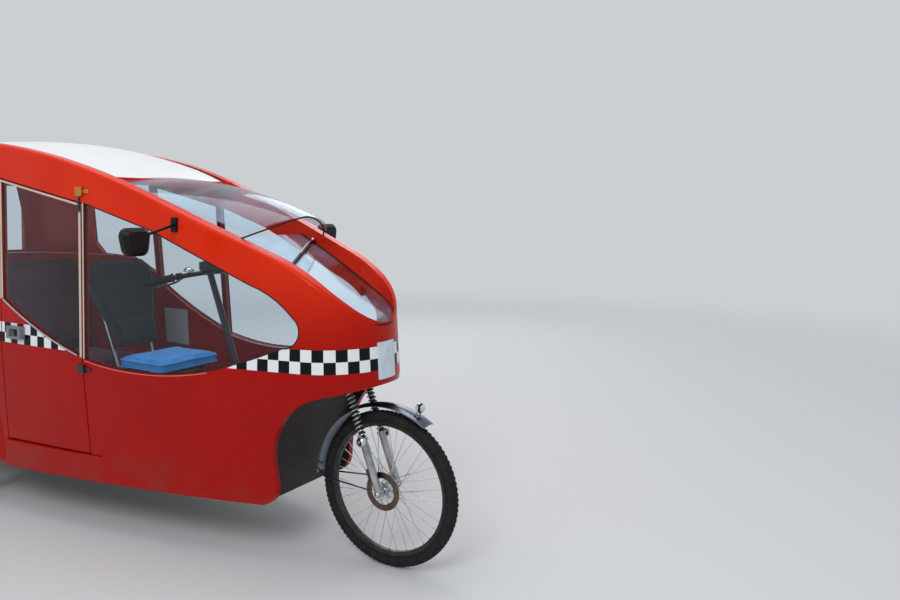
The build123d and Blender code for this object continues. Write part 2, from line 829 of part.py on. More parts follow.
def fork_springs():
    solids = []
    for side in (1, -1):
        foot = HUB + Vector(0, side * FORK_HALF_WIDTH, 0)
        low = foot + STEER_DIR * (SLIDER_LENGTH + 0.5)
        high = foot + STEER_DIR * (STANCHION_LENGTH - 29)
        solids.append(rod(low, high, 20) - rod(low - STEER_DIR, high + STEER_DIR, 12.3))
    return solids


def front_axle():
    return rod((0, -82, FRONT_TYRE_RADIUS), (0, 82, FRONT_TYRE_RADIUS), 6)


# Mudguard: where it starts and ends, in degrees round the hub from straight ahead
GUARD_ANGLES = (56, 84, 112, 145, 178)
GUARD_RADIUS = FRONT_TYRE_RADIUS + 34
GUARD_HALF = 36
GUARD_DOME = 10
STAY_OUT = 20.5


def front_mudguard():
    """Short curved guard over the front wheel, hung from the crown and stayed to the axle."""
    edge = GUARD_RADIUS - GUARD_DOME
    outer = ThreePointArc((edge, GUARD_HALF, 0), (GUARD_RADIUS, 0, 0), (edge, -GUARD_HALF, 0))
    inner = ThreePointArc((edge - 3, GUARD_HALF - 1, 0), (GUARD_RADIUS - 3, 0, 0), (edge - 3, 1 - GUARD_HALF, 0))
    lips = [Line(outer @ 0, inner @ 0), Line(outer @ 1, inner @ 1)]
    shell = revolve(make_face([outer, inner] + lips), Axis.Y, 360)
    corners = [(900 * cos(radians(a)), 900 * sin(radians(a))) for a in GUARD_ANGLES]
    sector = side_prism(side_face([(0, 0)] + corners), 200)
    guard = (shell & sector).moved(Location(tuple(HUB)))
    crown = on_axis(STEER_FOOT, CROWN_Z) + STEER_SIDE * 20
    inward = (HUB - crown).normalized()
    hanger_length = (HUB - crown).length - GUARD_RADIUS + 1.5
    hanger = rod(crown - STEER_DIR * SEAT_GAP, crown + inward * hanger_length, 9)
    crown_plane = Plane(origin=crown, x_dir=STEER_SIDE, z_dir=STEER_DIR)
    guard = guard + (hanger - extrude(crown_plane * Rectangle(120, 120), amount=60))
    end = radians(GUARD_ANGLES[-1] - 4)
    rear = HUB + Vector(cos(end), 0, sin(end)) * (GUARD_RADIUS - GUARD_DOME + 1)
    for side in (1, -1):
        eye = HUB + Vector(-30, side * (FORK_HALF_WIDTH + STAY_OUT), 14)
        bend = HUB + Vector(-(GUARD_RADIUS - 60), side * 40, 6)
        stay = tube_run([tuple(eye), tuple(bend), tuple(rear + Vector(0, side * 31, 0))], 3.5)
        guard = guard + stay
    return guard


# Headlamp section from the lens back, columns are x along its axis and radius
LAMP_SECTION = [(16, 0), (14, 9), (7, 16), (-2, 19), (-12, 19), (-20, 11), (-24, 0)]


def headlamp():
    """Small domed lamp on the front of the mudguard."""
    spot = radians(66)
    out = Vector(cos(spot), 0, sin(spot))
    base = HUB + out * (GUARD_RADIUS - 1)
    stalk = rod(base, base + out * 20, 8) - Pos(*HUB) * Rot(90, 0, 0) * Cylinder(GUARD_RADIUS + SEAT_GAP, 200)
    dome = Polyline([(x, 0, z) for x, z in LAMP_SECTION], close=True)
    lamp = revolve(make_face(dome), Axis.X, 360)
    return stalk + lamp.moved(Location(tuple(base + out * 34)))


# Steering column, parallel with the fork's pivot
COLUMN_FOOT = Vector(*COLUMN_POINT)
COLUMN_BEARING_Z = (640, 705)
COLUMN_ARM_Z = 716
BAR_Z = 1195


def handlebar():
    low = on_axis(COLUMN_FOOT, COLUMN_BEARING_Z[0] - 12)
    top = on_axis(COLUMN_FOOT, BAR_Z)
    column = rod(low, top, 15)
    bar = tube_run(
        [
            top + Vector(-70, 305, -35),
            top + Vector(-15, 190, -12),
            top + Vector(10, 60, 0),
            top + Vector(10, -60, 0),
            top + Vector(-15, -190, -12),
            top + Vector(-70, -305, -35),
        ],
        11,
    )
    arm_centre = on_axis(COLUMN_FOOT, COLUMN_ARM_Z)
    arm = steering_arm(arm_centre)
    pin_point = arm_centre + Vector(0, STEER_ARM, 0)
    arm = arm + rod(pin_point, pin_point + STEER_DIR * 30, 4)
    display = Pos(*(top + Vector(15, 0, 30))) * Box(70, 90, 40)
    return column + bar + arm + display


def grips():
    top = on_axis(COLUMN_FOOT, BAR_Z)
    solids = []
    for side in (1, -1):
        outer = top + Vector(-70, side * 305, -35)
        inner = top + Vector(-15, side * 190, -12)
        direction = (outer - inner).normalized()
        start = inner + direction * 10
        solids.append(rod(start, outer + direction * 4, 17) - rod(start - direction, outer, 11))
    return solids


def tie_rod():
    """Rod between the two steering arms, with an eye at each end."""
    rear = on_axis(COLUMN_FOOT, COLUMN_ARM_Z) + Vector(0, STEER_ARM, 0) + STEER_DIR * 10
    front = on_axis(STEER_FOOT, ARM_Z) + Vector(0, STEER_ARM, 0) + STEER_DIR * 10
    bar = rod(rear + STEER_DIR * 7, front + STEER_DIR * 7, 7)
    for end in (rear, front):
        bar = bar + rod(end, end + STEER_DIR * 14, 13)
    for end in (rear, front):
        bar = bar - rod(end - STEER_DIR * 5, end + STEER_DIR * 30, 4.4)
    return bar


# Frame
SPINE_Z = 300
SEAT_POST_X = -1440
SEAT_POST_TOP = 672


def frame():
    """Spine under the floor, steering head, column bearing, crank housing and cross tubes."""
    head_low = on_axis(STEER_FOOT, HEAD_LOW_Z)
    head_high = on_axis(STEER_FOOT, HEAD_HIGH_Z)
    head_mid = (head_low + head_high) * 0.5
    bearing_low = on_axis(COLUMN_FOOT, COLUMN_BEARING_Z[0])
    bearing_high = on_axis(COLUMN_FOOT, COLUMN_BEARING_Z[1])
    bearing_mid = (bearing_low + bearing_high) * 0.5
    solid = rod(head_low, head_high, 22)
    solid = solid + rod(bearing_low, bearing_high, 22)
    solid = solid + rod(head_mid, bearing_mid, 18)
    down = (head_mid * 0.62) + (bearing_mid * 0.38)
    solid = solid + tube_run(
        [tuple(down), (-530, 0, SPINE_Z), (-2330, 0, SPINE_Z), (REAR_AXLE_X, 0, REAR_TYRE_RADIUS)], 20
    )
    solid = solid + rod((CRANK_X, 0, SPINE_Z), (CRANK_X, 0, CRANK_Z), 16)
    solid = solid + rod((CRANK_X, -32, CRANK_Z), (CRANK_X, 32, CRANK_Z), 24)
    solid = solid + rod((SEAT_POST_X, 0, SPINE_Z), (SEAT_POST_X, 0, SEAT_POST_TOP), 22)
    for x in (-700, SEAT_POST_X, -1930):
        solid = solid + rod((x, -600, SPINE_Z), (x, 600, SPINE_Z), 14)
    solid = solid & hull(WALL + SEAT_GAP)
    for a, b in ((head_low, head_high), (bearing_low, bearing_high)):
        solid = solid - rod(a - STEER_DIR * 60, b + STEER_DIR * 60, 15.6)
    solid = solid - rod((REAR_AXLE_X, -100, REAR_TYRE_RADIUS), (REAR_AXLE_X, 100, REAR_TYRE_RADIUS), 62.5)
    return solid - rod((CRANK_X, -60, CRANK_Z), (CRANK_X, 60, CRANK_Z), 12.4)


def rear_axle():
    centre = (REAR_AXLE_X, 0, REAR_TYRE_RADIUS)
    tube = rod((REAR_AXLE_X, -405, REAR_TYRE_RADIUS), (REAR_AXLE_X, 405, REAR_TYRE_RADIUS), 26)
    stub = rod((REAR_AXLE_X, -505, REAR_TYRE_RADIUS), (REAR_AXLE_X, 505, REAR_TYRE_RADIUS), 10)
    housing = Pos(*centre) * Rot(90, 0, 0) * Cylinder(62, 120)
    solid = tube + stub + housing
    return solid


def crankset():
    axle = rod((CRANK_X, -70, CRANK_Z), (CRANK_X, 70, CRANK_Z), 12)
    ring = rod((CRANK_X, 38, CRANK_Z), (CRANK_X, 42, CRANK_Z), CHAIN_RING_RADIUS)
    solid = axle + ring
    for side in (1, -1):
        x_end = CRANK_X + side * CRANK_LENGTH
        low, high = sorted((side * 57, side * 71))
        x_low, x_high = sorted((CRANK_X - side * 12, x_end + side * 12))
        arm = box(x_low, x_high, low, high, CRANK_Z - 13, CRANK_Z + 13)
        pin = rod((x_end, side * 60, CRANK_Z), (x_end, side * 160, CRANK_Z), 6)
        solid = solid + arm + pin
    return solid


def pedals():
    solids = []
    for side in (1, -1):
        x_end = CRANK_X + side * CRANK_LENGTH
        block = Pos(x_end, side * 117, CRANK_Z) * Box(*PEDAL_SIZE)
        solids.append(block - rod((x_end, -200, CRANK_Z), (x_end, 200, CRANK_Z), 6.1))
    return solids


def chain_case():
    """Closed guard over the chain, from the crank to the rear axle."""
    low, high = CHAIN_CASE_Y
    reach = CHAIN_RING_RADIUS + 14
    axle_z = REAR_TYRE_RADIUS
    outline = make_face(
        [
            side_arc((CRANK_X, CRANK_Z + reach), (CRANK_X + reach, CRANK_Z), (CRANK_X, CRANK_Z - reach)),
            side_line((CRANK_X, CRANK_Z - reach), (-2020, 322)),
            side_line((-2020, 322), (REAR_AXLE_X, axle_z - 52)),
            side_arc((REAR_AXLE_X, axle_z - 52), (REAR_AXLE_X - 52, axle_z), (REAR_AXLE_X, axle_z + 52)),
            side_line((REAR_AXLE_X, axle_z + 52), (CRANK_X, CRANK_Z + reach)),
        ]
    )
    case = extrude(outline, amount=high - low, dir=(0, 1, 0)).moved(Location((0, low, 0)))
    inner = extrude(offset(outline, -3), amount=high - low - 6, dir=(0, 1, 0))
    inner = inner.moved(Location((0, low + 3, 0)))
    crank_hole = rod((CRANK_X, 0, CRANK_Z), (CRANK_X, 100, CRANK_Z), 30)
    axle_hole = rod((REAR_AXLE_X, -100, axle_z), (REAR_AXLE_X, 100, axle_z), 62.5)
    return case - inner - crank_hole - axle_hole


# Seats
# Driver's seat: the backrest leans, and the tubes behind it are parallel with it
BACK_ANGLE = 21
BACK_CENTRE = (-1655, 0, 1010)
BACK_SIZE = (78, 430, 500)
SEAT_TUBE_Y = 110
# Half of the backrest's outline seen from the front, columns are y and height from its centre
BACK_OUTLINE = [(122, -250), (186, 30), (215, 130), (203, 200), (150, 250)]


def driver_seat_frame():
    """Tubular frame on the post, with uprights behind the backrest."""
    lean = radians(BACK_ANGLE)
    up = Vector(-sin(lean), 0, cos(lean))
    behind = Vector(-cos(lean), 0, -sin(lean))
    line = Vector(*BACK_CENTRE) + behind * (BACK_SIZE[0] / 2 + 11 + SEAT_GAP)
    foot = line - up * ((line.Z - 690) / up.Z)
    top = line + up * 60
    solid = None
    for y in (SEAT_TUBE_Y, -SEAT_TUBE_Y):
        offset_y = Vector(0, y, 0)
        side = tube_run([(-1210, y, 690), tuple(foot + offset_y), tuple(top + offset_y)], 11)
        solid = side if solid is None else solid + side
    for x in (-1240, SEAT_POST_X, -1560):
        solid = solid + rod((x, -SEAT_TUBE_Y, 688), (x, SEAT_TUBE_Y, 688), 8)
    brace = line - up * 120 + behind
    across = Vector(0, SEAT_TUBE_Y, 0)
    solid = solid + rod(brace - across, brace + across, 8)
    low = SEAT_POST_TOP + SEAT_GAP
    return solid + box(SEAT_POST_X - 55, SEAT_POST_X + 55, -SEAT_TUBE_Y, SEAT_TUBE_Y, low, 686)


def pad(length, width, height, edge):
    """A plain cushion block with bevelled edges, centred on the origin."""
    block = Box(length, width, height)
    return chamfer(block.edges(), edge)


def driver_seat_cushion():
    return Pos(-1335, 0, 701 + SEAT_GAP + 38) * pad(360, 400, 76, 20)


def driver_backrest():
    """Pad that widens from the seat up to round shoulders."""
    outline = BACK_OUTLINE + [(-y, z) for y, z in BACK_OUTLINE[::-1]]
    face = make_face(Polyline([(0, y, z) for y, z in outline], close=True))
    block = extrude(face, amount=BACK_SIZE[0] / 2, dir=(1, 0, 0), both=True)
    sides = block.faces().sort_by(Axis.X)
    block = chamfer(sides[0].edges() + sides[-1].edges(), 20)
    return Pos(*BACK_CENTRE) * Rot(0, -BACK_ANGLE, 0) * block


# Space for each rear wheel under the bench: lowest and highest x, inner y, top
WHEEL_WELL = (-2724, -2176, 415, 533)


BENCH_BACK_ANGLE = 14
BENCH_BACK_CENTRE = Vector(-2632, 0, 925)
BENCH_BACK_SIZE = (100, 820, 520)


def bench_behind():
    """Direction from the rear bench's back pad to the board behind it."""
    lean = radians(BENCH_BACK_ANGLE)
    return Vector(-cos(lean), 0, -sin(lean))


def bench_base():
    """Seat box with its back board, a well over each wheel and the boot floor behind."""
    outline = side_face(
        [(-2010, 266), (-2010, 470), (-2075, 545), (-2608, 545), (-2608, 380), (-3150, 380), (-3150, 368)]
        + [(-2596, 368), (-2596, 533), (-2081, 533), (-2022, 465), (-2022, 266)]
    )
    base = extrude(outline, amount=500, dir=(0, 1, 0), both=True)
    board_centre = BENCH_BACK_CENTRE + bench_behind() * (BENCH_BACK_SIZE[0] / 2 + 6 + SEAT_GAP)
    board = Pos(0, 0, -60) * Box(12, BENCH_BACK_SIZE[1], BENCH_BACK_SIZE[2] + 140)
    board = Rot(0, -BENCH_BACK_ANGLE, 0) * board
    board = board.moved(Location(tuple(board_centre))) & box(-3000, -2000, -600, 600, 539, 1400)
    base = base + board
    x0, x1, y, top = WHEEL_WELL
    for side in (1, -1):
        low, high = sorted((side * (y - 8), side * 500))
        base = base + box(x0 - 8, x1 + 8, low, high, 266, top + 8)
    base = base & hull(WALL + SEAT_GAP)
    for side in (1, -1):
        low, high = sorted((side * y, side * 520))
        base = base - box(x0, x1, low, high, 200, top)
    return base - box(-2030, -2000, -30, CHAIN_CASE_Y[1] + 6, 200, 420)


def bench_cushions():
    """Seat and back pads of the rear bench."""
    seat = Pos(-2310, 0, 545 + SEAT_GAP + 54) * pad(500, 820, 108, 26)
    back = Pos(*BENCH_BACK_CENTRE) * Rot(0, -BENCH_BACK_ANGLE, 0) * pad(*BENCH_BACK_SIZE, 26)
    return [seat, back]


# Mirror head seen along the vehicle, as half width and height
MIRROR_OUTLINE = [(67, 55), (48, -55)]


def mirrors():
    """Mirror heads on stalks, one on each arch."""
    y = hull_half_width(-830, 1425)
    plate = (box(-845, -815, 300, 500, 1395, 1455) & hull(-8)) - HULL
    stalk = tube_run([(-830, y + 5, 1425), (-800, 520, 1385)], 6) - HULL
    face = Plane(origin=(-800, 0, 1362), x_dir=(0, 1, 0), z_dir=(1, 0, 0))
    rim = MIRROR_OUTLINE + [(-u, v) for u, v in MIRROR_OUTLINE[::-1]]
    outline = make_face(Polyline(rim, close=True))
    outline = fillet(outline.vertices(), 34)
    head = extrude(face * Pos(575, 0) * outline, amount=42)
    head = chamfer(head.faces().sort_by(Axis.X)[-1].edges(), 15)
    left = plate + stalk + head
    return [left, mirror_y(left)]


def screen_height(x):
    """Height of the lower screen's outer face on the centre plane."""
    return SCREEN_Z + sqrt((SCREEN_RADIUS + SCREEN_THICKNESS) ** 2 - (x - SCREEN_X) ** 2)


WIPER_PIVOT = (-598, 247)
WIPER_TIP = (-403, -120)
BLADE_FROM = 0.22


def wiper():
    """Thin arm and thicker blade along the lower screen, with a pivot boss at the upper end."""
    x, y = WIPER_PIVOT
    boss = rod((x, y, screen_height(x) - 1), (x, y, screen_height(x) + 16), 11)
    start = (x, y, screen_height(x) + 10)
    end = (WIPER_TIP[0], WIPER_TIP[1], screen_height(WIPER_TIP[0]) + 9)
    blade_start = Vector(*start) * (1 - BLADE_FROM) + Vector(*end) * BLADE_FROM
    arm = boss + rod(start, end, 4) + rod(blade_start, end, 7)
    return arm - screen_disc(SCREEN_THICKNESS + SEAT_GAP)


def blank_plates():
    """Plain plate on the nose, and a plain rounded board on each arch."""
    plate = (box(-40, 40, -56, 56, 806, 958) & hull(-4)) - HULL
    board_face = Pos(-2620, 0, 1753) * Rot(90, 0, 0) * RectangleRounded(820, 84, 38)
    board = (hull(-6) - HULL) & extrude(board_face, amount=800, dir=(0, 1, 0), both=True)
    return [plate, left_of(board), right_of(board)]


def tail_lamps():
    """A round lamp low on each side of the tail."""
    solids = []
    for y in (350, -350):
        barrel = rod((-3400, y, 830), (-3000, y, 830), 42)
        solids.append((barrel & hull(-10)) - HULL)
    return solids


def build():
    """Fills NODES with every piece."""
    low_shell, high_shell = rear_body_parts()
    side_sheets = [side_glass(front_window_face()), side_glass(quarter_window_face())]
    add("front_body", front_body())
    add("roof_arches", roof_arches())
    add("rear_body_lower", low_shell)
    add("rear_body_upper", high_shell)
    add("sills", sills())
    add("floor_pan", floor_pan())
    add("wheel_arch_liner", wheel_arch_liner())
    add("windscreens", windscreen_lower(), windscreen_upper())
    add("roof_panel", roof_panel())
    add(
        "cabin_windows",
        *[one_side(sheet, side) for sheet in side_sheets for side in (1, -1)],
        (hull(6) - hull(10)) & rear_window_block(),
    )
    add("window_posts", *window_posts())
    add("door_hinges", *door_hinges())
    for side, word in ((1, "left"), (-1, "right")):
        add(f"door_{word}", door(side))
        add(f"door_window_{word}", door_window(side))
        add(f"door_posts_{word}", door_posts(side))
        add(f"door_fittings_{word}", door_handle(side), *door_hinge_halves(side))
        tread, wheel = rear_wheel(side)
        add(f"rear_tyre_{word}", tread)
        add(f"rear_wheel_{word}", wheel)
    tread, wheel = front_wheel()
    add("front_tyre", tread)
    add("front_wheel", wheel)
    add("fork", fork())
    add("fork_springs", *fork_springs())
    add("front_axle", front_axle())
    add("front_mudguard", front_mudguard())
    add("headlamp", headlamp())
    add("handlebar", handlebar())
    add("grips", *grips())
    add("tie_rod", tie_rod())
    add("frame", frame())
    add("rear_axle", rear_axle())
    add("crankset", crankset())
    add("pedals", *pedals())
    add("chain_case", chain_case())
    add("driver_seat_frame", driver_seat_frame())
    add("driver_seat_cushion", driver_seat_cushion())
    add("driver_backrest", driver_backrest())
    add("bench_base", bench_base())
    add("bench_cushions", *bench_cushions())
    add("mirrors", *mirrors())
    add("wiper", wiper())
    add("blank_plates", *blank_plates())
    add("tail_lamps", *tail_lamps())


def export_all():
    """Moves every piece to the finished origin and writes one file per node."""
    shift = Location((ORIGIN_SHIFT_X, 0, 0))
    for name, solids in NODES.items():
        kept = []
        for solid in solids:
            kept += list(solid.moved(shift).solids())
        export_step(Compound(children=kept) if len(kept) > 1 else kept[0], f"parts/{name}.step")


build()
export_all()
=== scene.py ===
"""Looks for the cabin cycle rickshaw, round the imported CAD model. Metres, +X forward, +Y left, +Z up."""

import math
from functools import partialmethod

import bmesh
import bpy
from mathutils import Matrix, Vector
from mathutils.bvhtree import BVHTree


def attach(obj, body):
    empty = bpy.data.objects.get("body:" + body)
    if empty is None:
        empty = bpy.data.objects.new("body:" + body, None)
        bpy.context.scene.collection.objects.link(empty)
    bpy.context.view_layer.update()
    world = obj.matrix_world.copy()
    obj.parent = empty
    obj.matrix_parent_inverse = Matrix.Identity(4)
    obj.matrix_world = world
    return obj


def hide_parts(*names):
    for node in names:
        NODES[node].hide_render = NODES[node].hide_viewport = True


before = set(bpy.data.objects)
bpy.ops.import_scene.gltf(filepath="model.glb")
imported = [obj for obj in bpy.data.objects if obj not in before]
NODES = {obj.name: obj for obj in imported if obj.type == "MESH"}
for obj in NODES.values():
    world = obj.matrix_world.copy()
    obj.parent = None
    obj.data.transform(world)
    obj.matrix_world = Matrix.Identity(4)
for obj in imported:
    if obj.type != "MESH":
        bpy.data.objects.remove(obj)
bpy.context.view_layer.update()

# The frame's origin lies this far behind the front axle
SHIFT = 1.4435

# Sizes repeated from the CAD source, in metres
FRONT_RADIUS, FRONT_WIDTH = 0.333, 0.052
REAR_RADIUS, REAR_WIDTH = 0.254, 0.05
FRONT_HUB = Vector((SHIFT, 0, FRONT_RADIUS))
REAR_AXLE_X = -2.450 + SHIFT
REAR_WHEEL_Y = 0.460
REAR_AXLE_END = 0.497
TILT = math.radians(20)
STEER_DIR = Vector((-math.sin(TILT), 0, math.cos(TILT)))
STEER_SIDE = Vector((math.cos(TILT), 0, math.sin(TILT)))
FORK_HALF = 0.066
# Distances up the fork from the hub
KNEE, LEG_TOP, SPRING_LOW, SPRING_HIGH = 0.222, 0.2325, 0.2345, 0.434

SIDES = ((1, "left"), (-1, "right"))
AHEAD, SIDEWAYS, UPWARD = Vector((1, 0, 0)), Vector((0, 1, 0)), Vector((0, 0, 1))
FULL_TURN = 2 * math.pi


def at(x, y, z):
    """A point from millimetres measured from the front axle."""
    return Vector((x / 1000 + SHIFT, y / 1000, z / 1000))


# Materials


class Nodes:
    """A material's node tree with short calls to add nodes and links."""

    def __init__(self, name):
        self.material = bpy.data.materials.new(name)
        self.material.use_nodes = True
        self.tree = self.material.node_tree
        self.tree.nodes.clear()
        self.output = self.tree.nodes.new("ShaderNodeOutputMaterial")

    def add(self, kind, inputs=None, **settings):
        node = self.tree.nodes.new("ShaderNode" + kind)
        for key, value in settings.items():
            setattr(node, key, value)
        for key, value in (inputs or {}).items():
            self.put(node.inputs[key], value)
        return node

    def put(self, socket, value):
        if isinstance(value, bpy.types.Node):
            value = value.outputs[0]
        if isinstance(value, bpy.types.NodeSocket):
            self.tree.links.new(value, socket)
        else:
            socket.default_value = value

    def math(self, operation, *values):
        node = self.add("Math", operation=operation)
        for socket, value in zip(node.inputs, values):
            self.put(socket, value)
        return node.outputs[0]

    plus = partialmethod(math, "ADD")
    minus = partialmethod(math, "SUBTRACT")
    times = partialmethod(math, "MULTIPLY")
    above = partialmethod(math, "GREATER_THAN")
    below = partialmethod(math, "LESS_THAN")

    def coords(self):
        return self.add("TexCoord").outputs["Object"]

    def place(self):
        """The three coordinates of the surface's points."""
        return self.add("SeparateXYZ", {"Vector": self.coords()}).outputs

    def facing(self):
        """The three parts of the direction in which the surface looks."""
        return self.add("SeparateXYZ", {"Vector": self.add("TexCoord").outputs["Normal"]}).outputs

    def noise(self, scale, detail=3.0, roughness=0.5, stretch=None):
        where = self.coords()
        if stretch:
            where = self.add("Mapping", {"Vector": where, "Scale": stretch}).outputs[0]
        inputs = {"Vector": where, "Scale": scale, "Detail": detail, "Roughness": roughness}
        return self.add("TexNoise", inputs).outputs["Fac"]

    def ramp(self, value, *stops):
        node = self.add("ValToRGB", {"Fac": value})
        for element, (position, color) in zip(node.color_ramp.elements, stops):
            element.position = position
            element.color = color
        return node.outputs["Color"]

    def mix(self, factor, a, b):
        node = self.add("Mix", data_type="RGBA")
        # Inputs 6 and 7 and output 2 are the node's colour sockets
        for socket, value in ((0, factor), (6, a), (7, b)):
            self.put(node.inputs[socket], value)
        return node.outputs[2]

    def bump(self, height, strength, distance, normal=None):
        node = self.add("Bump", {"Height": height, "Strength": strength, "Distance": distance})
        if normal is not None:
            self.put(node.inputs["Normal"], normal)
        return node.outputs[0]

    def smooth_step(self, value, low, high, start=0.0, end=1.0):
        """A value that runs from start to end while another runs from low to high."""
        limits = {"Value": value, "From Min": low, "From Max": high, "To Min": start, "To Max": end}
        return self.add("MapRange", limits, interpolation_type="SMOOTHSTEP").outputs[0]

    def spread(self, value, low, high):
        """A value from 0 to 1 turned into one from low to high."""
        return self.add("MapRange", {"Value": value, "To Min": low, "To Max": high}).outputs[0]

    def uneven(self, scale, low, high):
        """A value that wanders between two limits."""
        return self.smooth_step(self.noise(scale, 4.0), 0.2, 0.8, low, high)

    def worn(self, base, color, amount):
        """A colour with patches of wear."""
        return self.mix(self.smooth_step(self.noise(30.0, 5.0, 0.6), 0.35, 0.8, 0.0, amount), base, color)

    def grain(self, scale, depth=0.1):
        return self.bump(self.noise(scale, 2.0), depth, 0.0004)

    def surface(self, **inputs):
        named = {key.replace("_", " "): value for key, value in inputs.items()}
        return self.finish(self.add("BsdfPrincipled", named))

    def finish(self, shader):
        self.tree.links.new(shader.outputs[0], self.output.inputs["Surface"])
        return self.material


def rgba(red, green, blue):
    return (red, green, blue, 1.0)


def srgb(red, green, blue):
    """Linear colour from 0 to 255 display values."""
    shares = (value / 255 for value in (red, green, blue))
    return rgba(*(c / 12.92 if c <= 0.04045 else ((c + 0.055) / 1.055) ** 2.4 for c in shares))


def shade(color, share):
    """The same colour at a share of its strength."""
    return rgba(*(c * share for c in color[:3]))


# The checked band: side of one check, lower edge, and the rise of its rear part per metre
CHECK = 0.0485
BAND_LOW = 0.8455
RISE_START, RISE = -1.5 + SHIFT, 0.0135
FRONT_BAND_END, REAR_BAND_START = -0.62 + SHIFT, -1.37 + SHIFT
# The crease rises from this place in a side view
CREASE_X, CREASE_Z, CREASE_SLOPE = -0.595 + SHIFT, 0.829, 0.455
# The nose is an arc in plan, and the tail is square
NOSE_RADIUS, NOSE_ARC = 0.2848, 0.3947
NOSE_CENTRE_X = -0.2823 + SHIFT
SHOULDER_X = -0.230 + SHIFT
TAIL_X = -3.0 + SHIFT
TAIL_SIDE = 0.489


def shell_paint():
    """Glossy moulded colour with a two-row black and white checked band that runs round the body."""
    n = Nodes("shell_paint")
    x, y, z = n.place()
    aside = n.math("ABSOLUTE", y)
    # Distance along the body from the middle of the nose
    round_nose = n.times(n.math("ARCTAN2", aside, n.minus(x, NOSE_CENTRE_X)), NOSE_RADIUS)
    round_tail = n.times(n.below(x, TAIL_X), n.math("MAXIMUM", n.minus(TAIL_SIDE, aside), 0.0))
    along_side = n.plus(n.plus(n.minus(SHOULDER_X, x), NOSE_ARC), round_tail)
    behind = n.below(x, SHOULDER_X)
    run = n.plus(n.times(behind, along_side), n.times(n.minus(1.0, behind), round_nose))
    rise = n.times(n.math("MAXIMUM", n.minus(RISE_START, x), 0.0), RISE)
    level = n.minus(n.minus(z, BAND_LOW), rise)
    column = n.math("FLOOR", n.math("DIVIDE", run, CHECK))
    row = n.math("FLOOR", n.math("DIVIDE", level, CHECK))
    odd = n.math("FLOORED_MODULO", n.plus(column, row), 2.0)
    inside = n.times(n.above(level, 0.0), n.below(level, 2 * CHECK))
    # At its rear end the front band stops at the crease
    crease = n.plus(n.times(n.minus(x, CREASE_X), CREASE_SLOPE), CREASE_Z)
    front = n.times(n.below(z, crease), n.above(x, FRONT_BAND_END))
    inside = n.times(inside, n.math("MAXIMUM", front, n.below(x, REAR_BAND_START)))
    # Only on faces that look outward
    normal_x, normal_y, _ = n.facing()
    outward = n.plus(n.times(normal_x, n.times(x, 0.2)), n.times(normal_y, y))
    band = n.times(inside, n.above(outward, 0.0))
    checks = n.mix(odd, srgb(226, 230, 235), srgb(12, 13, 16))
    # Painted light and shade: the colour is deeper, a shaded red, low down and more orange, a lit red, on
    # the arches
    shaded_low_tone = n.ramp(n.noise(2.2, 2.0), (0.3, srgb(158, 6, 0)), (0.7, srgb(168, 8, 0)))
    lit_high_tone = n.ramp(n.noise(3.0, 2.0), (0.3, srgb(208, 36, 3)), (0.7, srgb(218, 44, 5)))
    lit_and_shaded_tone = n.mix(n.smooth_step(z, 0.85, 1.35), shaded_low_tone, lit_high_tone)
    base = n.mix(band, lit_and_shaded_tone, checks)
    dust = n.smooth_step(n.noise(7.0, 6.0, 0.65), 0.35, 0.8, 0.0, 0.4)
    dirt = n.times(n.smooth_step(z, 0.24, 0.5, 1.0, 0.0), dust)
    base = n.mix(dirt, base, srgb(96, 70, 58))
    waves = n.bump(n.noise(3.0, 1.0), 0.1, 0.004, n.grain(120.0, 0.02))
    return n.surface(Base_Color=base, Roughness=n.uneven(26.0, 0.16, 0.3), Normal=waves, IOR=1.25)


def clear_sheet(name, tint, haze, sheen=0.0):
    """Thin clear panel: light goes straight through, with reflections, a little dust and a painted pale
    sheen that stands in for reflected sky.
    """
    n = Nodes(name)
    through = n.add("BsdfTransparent", {"Color": tint})
    smears = n.smooth_step(n.noise(5.0, 5.0, 0.6, (1, 1, 2.5)), 0.3, 0.75, 0.02, 0.1)
    wave = n.bump(n.noise(3.0, 1.0), 0.12, 0.004)
    gloss = n.add("BsdfGlossy", {"Color": rgba(0.9, 0.95, 1.0), "Roughness": smears, "Normal": wave})
    slant = n.add("LayerWeight", {"Blend": 0.5, "Normal": wave}).outputs["Facing"]
    mirror = n.plus(n.times(n.math("POWER", slant, 4.0), 0.5), 0.014)
    sheet = n.add("MixShader", {0: mirror, 1: through, 2: gloss})
    # One pale diffuse layer carries both the dust specks and the painted sheen of reflected sky
    dust = n.add("BsdfDiffuse", {"Color": srgb(176, 200, 222)})
    painted_sheen_streaks = n.smooth_step(n.noise(2.4, 4.0, 0.6, (1, 0.5, 1.6)), 0.4, 0.75, 0.0, sheen)
    specks = n.smooth_step(n.noise(40.0, 6.0, 0.7), 0.45, 0.8, haze * 0.4, haze * 2)
    return n.finish(n.add("MixShader", {0: n.plus(painted_sheen_streaks, specks), 1: sheet, 2: dust}))


def plastic(name, color, roughness, grain=900.0, depth=0.15, spread=0.15, coat=0.0, ior=1.45):
    """Moulded plastic or painted metal with a fine grain and slightly uneven gloss."""
    n = Nodes(name)
    return n.surface(
        Base_Color=n.ramp(n.noise(11.0, 5.0, 0.6), (0.3, shade(color, 1 - spread)), (0.75, color)),
        Roughness=n.spread(n.noise(24.0, 4.0), roughness - 0.08, roughness + 0.1),
        Normal=n.grain(grain, depth),
        Coat_Weight=coat,
        Coat_Roughness=0.1,
        IOR=ior,
    )


def metal(name, color, roughness=0.3, scratch=(1, 1, 30), depth=0.08):
    """Metal with brushed streaks and uneven gloss."""
    n = Nodes(name)
    streak = n.noise(40.0, 4.0, 0.6, scratch)
    base = n.ramp(n.noise(14.0, 5.0), (0.3, shade(color, 0.75)), (0.7, color))
    rough = n.spread(streak, roughness - 0.07, roughness + 0.12)
    return n.surface(Base_Color=base, Metallic=1.0, Roughness=rough, Normal=n.bump(streak, depth, 0.0003))


